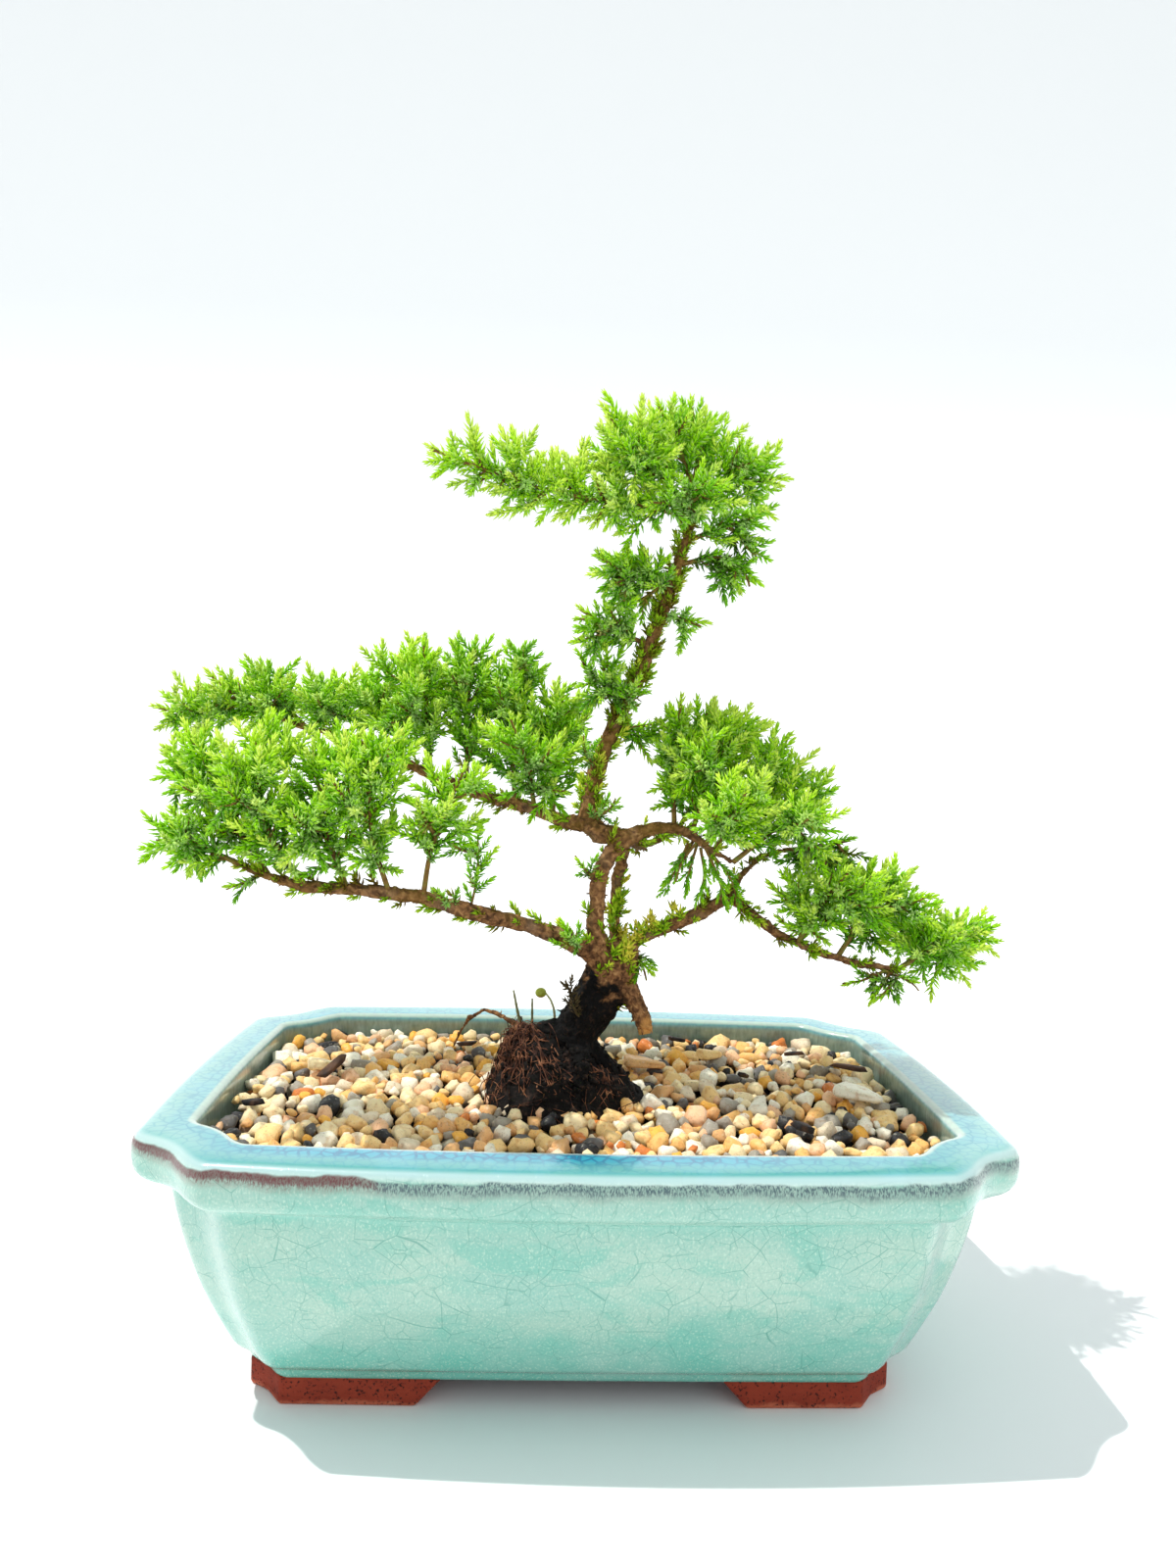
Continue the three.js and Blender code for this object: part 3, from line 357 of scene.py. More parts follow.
# %% The plan of the pot
RIM_WIDTH = 254
RIM_DEPTH = 180
BASE_INSET = 31.4
LONG_SIDE_LEAN = 1.14
CORNER_CUT = 25.7
CORNER_STEP = 14.9
LONG_SIDE_BOW = 5.2
SHORT_SIDE_BOW = 2.6
BOW_AT_BASE = 0.1
CORNER_AT_BASE = 0.43
SHORT_SIDE_SHARES = (0, 0.3, 0.6, 0.88)
LONG_SIDE_SHARES = (0.93, 0.7, 0.35, 0)


def quarter_plan(inset):
    """A quarter of the plan, from the middle of a short side round the dent to that of a long side."""
    half_width = RIM_WIDTH / 2 - inset
    half_depth = RIM_DEPTH / 2 - LONG_SIDE_LEAN * inset
    height_share = 1 - inset / BASE_INSET
    bow = BOW_AT_BASE + (1 - BOW_AT_BASE) * height_share
    corner_size = CORNER_AT_BASE + (1 - CORNER_AT_BASE) * height_share
    long_bow, short_bow = LONG_SIDE_BOW * bow, SHORT_SIDE_BOW * bow
    cut_x, cut_y = half_width - CORNER_CUT * corner_size, half_depth - CORNER_CUT * corner_size
    step = CORNER_STEP * corner_size
    short_side = [Vector((half_width - short_bow * s * s, cut_y * s)) for s in SHORT_SIDE_SHARES]
    long_side = [Vector((cut_x * s, half_depth - long_bow * s * s)) for s in LONG_SIDE_SHARES]
    dent = [
        Vector((half_width - short_bow, cut_y)),
        Vector((half_width - step, half_depth - long_bow - step)),
        Vector((cut_x, half_depth - long_bow)),
    ]
    return short_side + dent + long_side


def cut_corners(points, rounds):
    for _ in range(rounds):
        pairs = list(zip(points, points[1:] + points[:1]))
        points = [start.lerp(end, share) for start, end in pairs for share in (0.25, 0.75)]
    return points


def pot_plan(inset):
    """The plan of the wall, so far in from the rim's outermost line."""
    quarter = quarter_plan(inset)
    mirrored = quarter[-2:0:-1]
    corners = []
    for part, x, y in ((quarter, 1, 1), (mirrored, -1, 1), (quarter, -1, -1), (mirrored, 1, -1)):
        corners += [Vector((x * point.x, y * point.y)) for point in part]
    return cut_corners(corners, 2)


print("points round the plan:", len(pot_plan(0)))

# %% [markdown]
# The wall's section starts under the body, goes up the narrow base band and the curved side, swells into
# the rounded lip, crosses the flat rim and drops inside. Each ring also keeps how far along the wall it
# is from the lip's upper edge. The glaze reads that later, because a glaze runs thin and breaks brown
# exactly on that edge.

# %% The section of the wall
BODY_BOTTOM = 7.5
INNER_FLOOR = 14
OUTSIDE = [
    (33.2, BODY_BOTTOM), (32, 7.7), (31.1, 8.6), (30.2, 10.4), (29.4, 11.6), (28.7, 12.2), (27.6, 13),
    (25.8, 15), (21.6, 24), (17.8, 33), (15, 41.5), (12.6, 50), (10.8, 58), (9.9, 63), (9.2, 65.2),
    (7.4, 66.7), (4.6, 67.7), (2.2, 69), (0.7, 71.2), (0.1, 74), (0, 77.4), (0.5, 79.9), (1.7, 81.4),
    (4.2, 82), (9, 82),
]
INSIDE = [
    (13, 82), (14.9, 81.7), (15.8, 80.6), (16.1, 78), (16.6, 68), (24, 32), (31, 17), (35, INNER_FLOOR),
]
LIP_EDGE = OUTSIDE.index((0.5, 79.9))
RINGS_PER_SPAN = 2

wall = smooth_line(OUTSIDE + INSIDE, RINGS_PER_SPAN)
distances = [0.0]
for lower, upper in zip(wall, wall[1:]):
    distances.append(distances[-1] + (upper - lower).length)
from_lip = [distance - distances[LIP_EDGE * RINGS_PER_SPAN] for distance in distances]
print("rings in the wall:", len(wall))

# %% [markdown]
# The wall is one ring extruded along that section. The underside and the inner floor are filled round the
# two drainage holes, and each pair of hole rims is bridged, so the pot is one closed shell with real
# holes through it.

# %% The glazed body
DRAIN_SPACING = 84
DRAIN_RADIUS = 8.5
DRAIN_SIDES = 32


def drain_rims(model, height):
    rims = []
    for x in (-DRAIN_SPACING / 2, DRAIN_SPACING / 2):
        made = bmesh.ops.create_circle(model, segments=DRAIN_SIDES, radius=DRAIN_RADIUS)["verts"]
        bmesh.ops.translate(model, vec=(x, 0, height), verts=made)
        rims.append(list({edge for vert in made for edge in vert.link_edges}))
    return rims


body = bmesh.new()
lip_layer = body.verts.layers.float.new("from_lip")
plans = [[(point.x, point.y, level.y) for point in pot_plan(level.x)] for level in wall]
rings = [first_ring(body, plans[0])]
for places in plans[1:]:
    rings.append(next_ring(body, rings[-1], places))
for ring, distance in zip(rings, from_lip):
    for vert in ring:
        vert[lip_layer] = distance
under_rims = drain_rims(body, BODY_BOTTOM)
floor_rims = drain_rims(body, INNER_FLOOR)
for ring, rims in ((rings[0], under_rims), (rings[-1], floor_rims)):
    border = ring_edges(body, ring) + rims[0] + rims[1]
    bmesh.ops.triangle_fill(body, use_beauty=True, use_dissolve=False, edges=border)
for under, above in zip(under_rims, floor_rims):
    bmesh.ops.bridge_loops(body, edges=under + above)
bmesh.ops.recalc_face_normals(body, faces=body.faces)
print("the pot is closed:", all(edge.is_manifold for edge in body.edges))

# %% [markdown]
# The four feet are bare clay. They follow the body's corner, are cut slanting at their inner ends and
# stand flat. Each one is an L-shaped plan, extruded up into the body, with its sharp edges worn round by
# a bevel. The potter wasn't exact: the two feet at the left are longer than those at the right.

# %% The bare clay feet
FOOT_BAND = 15
FOOT_LEFT_LENGTH = 50
FOOT_RIGHT_LENGTH = 45
FOOT_SHORT_LENGTH = 32
FOOT_SPLAY = 7
FOOT_TOP = 8.6
FOOT_MITRE = 4
FOOT_WEAR = 1.1
SHARP_ANGLE = math.radians(30)


def foot_plan(height, x, y):
    splay = FOOT_SPLAY * height / BODY_BOTTOM
    quarter = quarter_plan(BASE_INSET)
    outer = quarter[3:8]
    side_x = quarter[0].x
    front_y = quarter[-1].y
    long_end = side_x - (FOOT_RIGHT_LENGTH if x > 0 else FOOT_LEFT_LENGTH) - splay
    short_end = front_y - FOOT_SHORT_LENGTH - splay
    corners = [
        Vector((side_x - FOOT_BAND, short_end)),
        Vector((side_x, short_end)),
        *outer,
        Vector((long_end, front_y)),
        Vector((long_end, front_y - FOOT_BAND)),
        Vector((side_x - FOOT_BAND - FOOT_MITRE, front_y - FOOT_BAND)),
        Vector((side_x - FOOT_BAND, front_y - FOOT_BAND - FOOT_MITRE)),
    ]
    return [(x * point.x, y * point.y, height) for point in corners]


feet = bmesh.new()
for x, y in ((1, 1), (-1, 1), (-1, -1), (1, -1)):
    lowest = first_ring(feet, foot_plan(0, x, y))
    highest = next_ring(feet, lowest, foot_plan(FOOT_TOP, x, y))
    feet.faces.new(lowest)
    feet.faces.new(highest)
bmesh.ops.recalc_face_normals(feet, faces=feet.faces)
sharp = [edge for edge in feet.edges if edge.calc_face_angle() > SHARP_ANGLE]
bmesh.ops.bevel(feet, geom=sharp, offset=FOOT_WEAR, offset_type="OFFSET", segments=3, profile=0.5,
                affect="EDGES", material=-1, clamp_overlap=True)
print("the feet are closed:", all(edge.is_manifold for edge in feet.edges))

# %% [markdown]
# Celadon is a glassy glaze with a little iron and copper in it. Where it lies thick it turns deep teal,
# on the curved side it is milky mint with cream patches, and on the lip's edge it runs off and burns
# brown. Each effect is one layer of colour, laid over the one before. The numbers of a fade are where it
# starts and ends, as a height in millimetres or a value of the noise, and then its two strengths.

# %% The glaze's colours
glaze = Finish("celadon glaze", roughness=0.2)
MINT = paint(148, 196, 182)
CREAM = paint(172, 204, 188)
TEAL = paint(100, 187, 169)
height = glaze.along("Z")
clouds = glaze.grain(26, detail=5, vector=glaze.stretched((0.8, 0.8, 1.2)), distortion=0.6)
milky_height = glaze.both(glaze.fade(height, 20, 38), glaze.fade(height, 64, 54, 0.4, 1))
cream_share = glaze.both(glaze.fade(clouds, 0.3, 0.66), milky_height)
side = glaze.mix(cream_share, MINT, CREAM)
runs = glaze.ragged(height, glaze.grain(22, detail=3), 16)
side = glaze.mix(glaze.fade(runs, 34, 4, 0, 0.9), side, TEAL)
thick_patches = glaze.grain(19, detail=5, vector=glaze.stretched((0.7, 0.7, 1.4)), distortion=0.8)
side = glaze.mix(glaze.fade(thick_patches, 0.5, 0.64, 0, 0.45), side, TEAL)
# Painted shade: a slightly darker teal band in the cove under the lip.
lip_shadow_band = glaze.band(height, 60, 65.5, 67, 68.5)
side = glaze.mix(glaze.both(lip_shadow_band, 0.4), side, paint(126, 200, 184))
base_line = glaze.band(height, 11.4, 12.2, 12.4, 13.4)
side = glaze.mix(glaze.both(base_line, 0.2), side, paint(64, 148, 134))
lowest_roll = glaze.fade(height, 9.6, 7.8, 0, 0.55)
side = glaze.mix(lowest_roll, side, paint(52, 158, 144))
bubbles = glaze.grain(0.55, detail=3, vector=glaze.stretched((1, 1, 0.6)))
side = glaze.mix(glaze.fade(bubbles, 0.52, 0.72, 0, 0.5), side, paint(206, 232, 214))
side = glaze.mix(glaze.fade(bubbles, 0.46, 0.3, 0, 0.35), side, paint(98, 186, 168))
print("layers on the side: clouds, low pools, thick patches, lip shadow, base line and bubbles")

# %% [markdown]
# The crackle is a net of fine cracks at two sizes. A Voronoi texture gives the distance to the nearest
# edge of its cells, and a fade over a small share of a cell makes a hairline of it. Noise hides most of
# them, as only some cracks took up stain, so what is left is broken lines more than a net.

# %% The crackle
CRACK_COLOUR = paint(84, 156, 142)
large_net = glaze.net(12, vector=glaze.warped(20, 4))
small_net = glaze.net(4.6, vector=glaze.warped(8, 1.6))
large_cracks = glaze.fade(large_net, 0.002, 0.014, 1, 0)
small_cracks = glaze.fade(small_net, 0.006, 0.034, 1, 0)
long_stain = glaze.fade(glaze.grain(13), 0.42, 0.62, 0.1, 0.75)
short_stain = glaze.fade(glaze.grain(9, detail=3), 0.38, 0.68, 0.1, 0.6)
cracks = glaze.maths("MAXIMUM", glaze.both(large_cracks, long_stain),
                   glaze.both(small_cracks, short_stain))
side = glaze.mix(cracks, side, CRACK_COLOUR)
print("crack cells of 12 and 4.6 mm")

# %% [markdown]
# On the flat rim the glaze pools and turns blue, with a net of darker blue round pale cells. Both are
# deepest on the long front side towards the inner edge, and fade out towards the corners.

# %% The flat rim
lip = glaze.attribute("from_lip")
rim_net = glaze.net(3.4, vector=glaze.warped(5, 1.5))
across = glaze.along("X")
from_middle = glaze.maths("ABSOLUTE", glaze.maths("ADD", across, 18))
in_front = glaze.both(glaze.fade(from_middle, 100, 38), glaze.fade(glaze.along("Y"), -40, -68))
pooled = glaze.both(glaze.fade(lip, 6, 11), glaze.fade(in_front, 0, 1, 0.3, 1))
beside = glaze.fade(glaze.maths("ABSOLUTE", across), 96, 112)
rim_pale = glaze.mix(beside, paint(98, 172, 174), paint(134, 188, 186))
rim_blue = glaze.mix(pooled, rim_pale, paint(54, 164, 190))
line_share = glaze.both(glaze.fade(rim_net, 0.02, 0.17, 1, 0), pooled)
rim = glaze.mix(line_share, rim_blue, paint(4, 92, 150))
faint_net = glaze.both(glaze.fade(rim_net, 0.01, 0.12, 0.5, 0), glaze.fade(lip, 2, 5))
rim = glaze.mix(faint_net, rim, paint(72, 150, 168))
bluish_patch = glaze.fade(glaze.grain(13, detail=3), 0.5, 0.68, 0, 0.25)
rim = glaze.mix(bluish_patch, rim, paint(110, 186, 206))
print("the rim reads the distance from the lip's edge")

# %% [markdown]
# Down the lip's face the glaze is streaked. Under the pale edge, which is thin glaze with a painted
# highlight on it, comes a band of fine dark strokes, brown at the left end and blue-grey elsewhere, and
# below it the glaze is pale again. Inside, the wall is dull and streaked, and the bare clay underside is
# dark brown, partly painted shade under the pot.

# %% The lip and the inside
upper = glaze.fade(lip, -0.4, 1.4)
colour = glaze.mix(upper, side, rim)
# The pale edge is partly thin glaze over the arris and partly a painted highlight along it.
thin_glaze_and_highlight = glaze.band(lip, -1, 0.4, 1.4, 3.4)
colour = glaze.mix(glaze.both(thin_glaze_and_highlight, 0.5), colour, paint(214, 226, 224))
line_place = glaze.ragged(lip, glaze.grain(16, detail=3), 1)
strokes = glaze.grain(0.34, detail=3, vector=glaze.stretched((1, 1, 0.3)))
grey_band = glaze.band(line_place, -5.6, -3.2, -0.8, 0.4)
colour = glaze.mix(glaze.both(grey_band, 0.45), colour, paint(158, 176, 160))
stroke_band = glaze.band(line_place, -4.6, -1.6, -0.5, 0.3)
burnt = glaze.both(stroke_band, glaze.fade(strokes, 0.36, 0.62, 0.2, 1.0))
at_the_left = glaze.fade(glaze.ragged(across, glaze.grain(20), 30, 0, 1), -30, -62)
burnt_colour = glaze.mix(at_the_left, paint(66, 92, 98), paint(96, 48, 46))
colour = glaze.mix(burnt, colour, burnt_colour)
solid_line = glaze.band(line_place, -2.6, -1.5, -0.3, 0.5)
solid_burnt = glaze.both(glaze.both(solid_line, at_the_left), 0.75)
colour = glaze.mix(solid_burnt, colour, paint(98, 52, 52))
inner_edge = glaze.band(lip, 13.2, 14.6, 15.8, 17)
colour = glaze.mix(glaze.both(inner_edge, 0.6), colour, paint(216, 222, 200))
inner_wall = glaze.fade(lip, 16, 18.5)
inner_streaks = glaze.grain(1.2, detail=3, vector=glaze.stretched((1, 1, 0.3)))
inner_colour = glaze.mix(inner_streaks, paint(92, 112, 104), paint(160, 182, 170))
colour = glaze.mix(inner_wall, colour, inner_colour)
# The bare clay underside is darker than the feet's clay: clay colour with painted shade under the pot.
colour = glaze.mix(glaze.fade(height, 7.62, 7.52), colour, paint(66, 36, 28))
print("layers on the lip: bright edge, grey band, strokes and a solid line")

# %% [markdown]
# Gloss finishes the glaze: a clear coat over a slightly duller body. Two kinds of relief lie under the
# coat, the slow waves of a hand-dipped surface and the hairline cracks.

# %% The glaze's gloss
slow_waves = glaze.relief(glaze.grain(16), 0.4)
crack_relief = glaze.relief(glaze.maths("SUBTRACT", 1.0, cracks), 0.03, over=slow_waves)
glaze.colour(colour)
glaze.set("Normal", crack_relief)
glaze.set("Coat Weight", 0.6)
glaze.set("Coat Roughness", 0.06)
glaze.set("Roughness", glaze.fade(burnt, 0, 1, 0.25, 0.45))
make_piece("glazed_pot", body, [glaze], ["pot"])

# %% [markdown]
# The feet's clay is red, coarse and matt. Grog in it leaves pits, which are darker, and the lowest two
# millimetres of each foot are lighter.

# %% Terracotta
clay = Finish("bare red clay", roughness=0.8, specular=0.3)
blotches = clay.mix(clay.grain(7, detail=4), paint(122, 38, 22), paint(164, 62, 38))
lighter_low_edge = clay.fade(clay.ragged(clay.along("Z"), clay.grain(5), 1.2, 0, 1), 2.2, 0.5)
clay_colour = clay.mix(lighter_low_edge, blotches, paint(190, 100, 72))
pits = clay.fade(clay.grain(0.8), 0.3, 0.42)
clay.colour(clay.mix(pits, paint(66, 22, 16), clay_colour))
grit = clay.relief(clay.grain(0.7, detail=3), 0.2)
clay.bumps(pits, 0.25, over=grit)
make_piece("clay_feet", feet, [clay])

# %% [markdown]
# Over each drainage hole lies a square of plastic mesh that keeps the soil in. The solid already has the
# right shape, so it stays, and only gets the finish of moulded plastic with soil dust on it.

# %% The screens
plastic = Finish("black plastic mesh", roughness=0.5)
dusty = plastic.fade(plastic.grain(3, detail=4), 0.45, 0.7)
plastic.colour(plastic.mix(dusty, paint(24, 28, 26), paint(70, 58, 44)))
plastic.set("Roughness", plastic.fade(dusty, 0, 1, 0.35, 0.8))
plastic.bumps(plastic.grain(0.5), 0.08)


def refinish(node, finish):
    """Give a solid that stays a better finish. Its shape isn't touched."""
    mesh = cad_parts[node].data
    mesh.materials.clear()
    mesh.materials.append(finish.material)
    print(f"{node}: stays, with {len(mesh.polygons)} faces")


refinish("drainage_screen_left", plastic)
refinish("drainage_screen_right", plastic)

# %% [markdown]
# ## Soil and pebbles
#
# The soil's solid fills the pot and has the right shape, so it stays under the pebbles and only gets a
# finish. Potting soil is dark because it is moist: near black, with a few brown fibres in it.

# %% The soil's finish
GRAVEL_TOP = 76.4
earth = Finish("moist potting soil", roughness=0.9, specular=0.25)
lumps = earth.grain(2.2, detail=5)
dark_earth = earth.ramp(lumps, [
    (0.3, 5, 4, 4), (0.55, 20, 16, 14), (0.66, 52, 38, 32), (0.8, 96, 70, 54),
])
fibre_net = earth.grain(1.6, detail=3, vector=earth.stretched((1, 1, 0.25)), distortion=2.0)
earth.colour(earth.mix(earth.fade(fibre_net, 0.7, 0.78), dark_earth, paint(96, 66, 46)))
earth.bumps(earth.grain(0.9, detail=5), 0.6)
refinish("soil", earth)

# %% [markdown]
# Round the trunk the soil stands up out of the pebbles in a lumpy mound. It is a closed dome, made from a
# stack of rings like the pot, then subdivided and shaken by noise, first in lumps and then in crumbs.

# %% The mound round the trunk
MOUND_LEVELS = [
    ((-4, -2), 26, 64), ((-4, -2), 24.5, 75), ((-5, -1), 22, 80), ((-8, 1), 17.6, 86),
    ((-10.5, 3), 12.7, 91), ((-12.4, 4), 8, 94.2),
]
MOUND_SIDES = 24
MOUND_SHAKES = ((7, 2.2, 3), (2.4, 1.9, 5), (0.9, 1.0, 7))


def mound_lobes(angle, height):
    return 1 + 0.07 * math.sin(2 * angle + 0.6) + 0.06 * math.sin(5 * angle + 0.2 * height)


def mound_ring(middle, radius, height):
    places = []
    for side in range(MOUND_SIDES):
        angle = math.tau * side / MOUND_SIDES
        out = Vector((math.cos(angle), math.sin(angle), 0)) * radius * mound_lobes(angle, height)
        places.append(Vector((*middle, height)) + out)
    return places


def shake(model, size, reach, seed):
    """Push every vertex in or out by noise with bumps as wide as size."""
    shift = Vector((seed, 2 * seed, 3 * seed))
    model.normal_update()
    pushed = [(vert, vert.normal * noise.noise((vert.co + shift) / size) * reach) for vert in model.verts]
    for vert, push in pushed:
        vert.co += push


mound = bmesh.new()
ring = first_ring(mound, mound_ring(*MOUND_LEVELS[0]))
mound.faces.new(reversed(ring))
for middle, radius, height in MOUND_LEVELS[1:]:
    ring = next_ring(mound, ring, mound_ring(middle, radius, height))
bmesh.ops.poke(mound, faces=[mound.faces.new(ring)])
bmesh.ops.subdivide_edges(mound, edges=mound.edges, cuts=4, use_grid_fill=True, smooth=0.6)
bmesh.ops.recalc_face_normals(mound, faces=mound.faces)
for size, reach, seed in MOUND_SHAKES:
    shake(mound, size, reach, seed)
mound_tree = BVHTree.FromBMesh(mound)
make_piece("soil_mound", mound, [earth])

# %% [markdown]
# A thick pile of fine reddish roots leans against the trunk at its left, and single roots run over the
# mound in front. Each is a thin tube along a short crooked walk, which starts where a ray from above
# meets the mound. Those of the pile stand up and arch, and the others lie on the soil.

# %% Fine roots
ROOT_SEED = 31
PILE_COUNT = 150
LYING_COUNT = 90
ROOT_SIDES = 4
PILE_MIDDLE = Vector((-21, -4, 0))
PILE_SPREAD = (4.5, 6.5)
ROOT_RADII = (0.13, 0.34)
ROOT_TIP = 0.1
ABOVE_ALL = 120


def on_mound(place):
    hit = mound_tree.ray_cast(Vector((place.x, place.y, ABOVE_ALL)), -UP)[0]
    return hit if hit is not None else Vector((place.x, place.y, GRAVEL_TOP))


def pile_root(draw):
    """A root that rises from the pile, arches over and comes down beside it."""
    spot = PILE_MIDDLE + Vector((draw.gauss(0, PILE_SPREAD[0]), draw.gauss(0, PILE_SPREAD[1]), 0))
    angle = draw.uniform(0, math.tau)
    heading = Vector((math.cos(angle), math.sin(angle), 0))
    reach = draw.uniform(3, 9)
    lift = draw.uniform(0.4, 5)
    line = []
    for share in (0, 0.25, 0.5, 0.75, 1):
        place = on_mound(spot + heading * reach * (share - 0.5))
        shaken = Vector((draw.gauss(0, 0.6), draw.gauss(0, 0.6), draw.gauss(0, 0.5)))
        line.append(place + shaken + UP * lift * math.sin(math.pi * share) - UP * 0.4)
    return smooth_line(line, 2)


def lying_root(draw):
    """A root that runs outwards over the soil."""
    angle = draw.uniform(math.radians(150), math.radians(400))
    reach = draw.uniform(6, 16)
    line = []
    for _ in range(draw.randint(4, 7)):
        place = Vector((MOUND_LEVELS[0][0][0], MOUND_LEVELS[0][0][1], 0))
        place += Vector((math.cos(angle), math.sin(angle), 0)) * reach
        line.append(on_mound(place) + UP * draw.uniform(-0.1, 0.7))
        angle += draw.gauss(0, 0.25)
        reach = min(reach + draw.uniform(0.5, 4), 27)
    return smooth_line(line, 2)


draw = random.Random(ROOT_SEED)
roots = bmesh.new()
for make_line, count in ((pile_root, PILE_COUNT), (lying_root, LYING_COUNT)):
    for _ in range(count):
        line = make_line(draw)
        add_tube(roots, line, tapered(line, draw.uniform(*ROOT_RADII), ROOT_TIP), ROOT_SIDES)
root_skin = Finish("fine roots", roughness=0.75, specular=0.25)
root_skin.colour(root_skin.ramp(root_skin.grain(3.5, detail=3), [
    (0.3, 26, 16, 12), (0.45, 80, 48, 36), (0.6, 138, 90, 64),
    (0.75, 190, 138, 104),
]))
root_skin.bumps(root_skin.grain(0.5), 0.1)
make_piece("fine_roots", roots, [root_skin])

# %% [markdown]
# The pebbles are river gravel, broken small and a little worn: angular, some with flat faces. One is a
# subdivided cube, drawn partly towards a sphere, shaken by noise and cut flat on a few sides. A few such
# shapes, turned and stretched differently each time, give over a thousand pebbles that don't look alike.

# %% A few pebble shapes
PEBBLE_SHAPES = 16
PEBBLE_SEED = 77
FLAT_SIDES = 5
SOME_SHIFT = 90


def pebble_shape(draw, cuts):
    model = bmesh.new()
    bmesh.ops.create_cube(model, size=2)
    bmesh.ops.subdivide_edges(model, edges=model.edges, cuts=cuts, use_grid_fill=True)
    shift = Vector([draw.uniform(0, SOME_SHIFT) for _ in range(3)])
    roundness = draw.uniform(0.45, 0.9)
    for vert in model.verts:
        round_place = vert.co.normalized()
        vert.co = (vert.co * 0.8).lerp(round_place, roundness)
        vert.co *= 1 + 0.4 * noise.noise(round_place * 1.3 + shift)
    for _ in range(FLAT_SIDES):
        facing = Vector([draw.gauss(0, 1) for _ in range(3)]).normalized()
        depth = draw.uniform(0.62, 0.86)
        for vert in model.verts:
            beyond = vert.co.dot(facing) - depth
            if beyond > 0:
                vert.co -= facing * beyond
    bmesh.ops.scale(model, vec=(1, draw.uniform(0.65, 0.95), draw.uniform(0.55, 0.85)), verts=model.verts)
    return to_mesh(model, "pebble_shape")


draw = random.Random(PEBBLE_SEED)
fine_pebbles = [pebble_shape(draw, 2) for _ in range(PEBBLE_SHAPES)]
coarse_pebbles = [pebble_shape(draw, 1) for _ in range(PEBBLE_SHAPES // 2)]
print("faces of a pebble on top:", len(fine_pebbles[0].polygons))
print("faces of one below:", len(coarse_pebbles[0].polygons))

# %% [markdown]
# Poured gravel settles wherever there is room. So each pebble tries a random place, and stays there if
# its neighbours leave it room. Large ones go first, small ones fill the gaps, and a lower layer shows
# through what is left.

# %% Where the pebbles lie
GRAVEL_INSET = 16.4
CELL = 5
MOUND_EDGE = 22.5


def is_inside(place, plan):
    """True where a place is inside a closed plan, by counting the sides that a ray crosses."""
    crossed = False
    for start, end in zip(plan, plan[1:] + plan[:1]):
        if (start.y > place.y) != (end.y > place.y):
            crossed ^= place.x < start.x + (place.y - start.y) * (end.x - start.x) / (end.y - start.y)
    return crossed


def scatter(draw, sizes, keep_clear, closeness):
    """Places and radii of stones, poured largest first."""
    half_width = RIM_WIDTH / 2 - GRAVEL_INSET
    half_depth = RIM_DEPTH / 2 - GRAVEL_INSET
    middle, _, height = MOUND_LEVELS[1]
    stones, cells = [], {}
    for low, high, tries in sizes:
        plan = pot_plan(GRAVEL_INSET + low)
        for _ in range(tries):
            place = Vector((draw.uniform(-half_width, half_width), draw.uniform(-half_depth, half_depth)))
            radius = draw.uniform(low, high)
            cell = (int(place.x // CELL), int(place.y // CELL))
            around = [(cell[0] + x, cell[1] + y) for x in (-2, -1, 0, 1, 2) for y in (-2, -1, 0, 1, 2)]
            near = [stone for key in around for stone in cells.get(key, ())]
            if any((place - other).length < closeness * (radius + size) for other, size in near):
                continue
            out = place - Vector(middle)
            reach = MOUND_EDGE * mound_lobes(math.atan2(out.y, out.x), height) + keep_clear
            if out.length < reach or not is_inside(place, plan):
                continue
            cells.setdefault(cell, []).append((place, radius))
            stones.append((place, radius))
    return stones


draw = random.Random(PEBBLE_SEED)
TOP_SIZES = [(3.6, 4.8, 140), (2.7, 3.6, 900), (2.1, 2.8, 3000), (1.4, 2.0, 5200)]
LOW_SIZES = [(2.6, 3.4, 700), (1.9, 2.6, 1500)]
top_stones = scatter(draw, TOP_SIZES, keep_clear=0, closeness=0.84)
low_stones = scatter(draw, LOW_SIZES, keep_clear=-2, closeness=0.95)
print("pebbles on top:", len(top_stones), "below them:", len(low_stones))

# %% [markdown]
# Each pebble is a copy of one shape, joined into one mesh at its place. It carries its own random number
# as an attribute, and the finish turns that number into one of the colours of river gravel. The copies
# are joined in small batches first, because joining to a large mesh is slow.

# %% The pebble layer
BATCH = 50
SUNK_SHARE = 0.35
STONE_GROWTH = 1.2
STONE_LEAN = 0.5


def add_copy(model, shape, place):
    """Join a copy of a shape into a model, and return the copy's vertices."""
    before = len(model.verts)
    model.from_mesh(shape)
    model.verts.ensure_lookup_table()
    copied = model.verts[before:]
    bmesh.ops.transform(model, matrix=place, verts=copied)
    return copied


def any_turn(draw, lean):
    flat = Matrix.Rotation(draw.uniform(0, math.tau), 4, "Z")
    return flat @ Matrix.Rotation(draw.gauss(0, lean), 4, "X") @ Matrix.Rotation(draw.gauss(0, lean), 4, "Y")


def gravel_batch(draw, stones, shapes, level, spread):
    batch = bmesh.new()
    stone_layer = batch.verts.layers.float.new("stone")
    for place, radius in stones:
        height = level + draw.uniform(-spread, spread) - SUNK_SHARE * radius
        at = Matrix.Translation((place.x, place.y, height))
        grown = Matrix.Scale(radius * STONE_GROWTH, 4)
        number = draw.random()
        for vert in add_copy(batch, draw.choice(shapes), at @ any_turn(draw, STONE_LEAN) @ grown):
            vert[stone_layer] = number
    return to_mesh(batch, "gravel_batch")


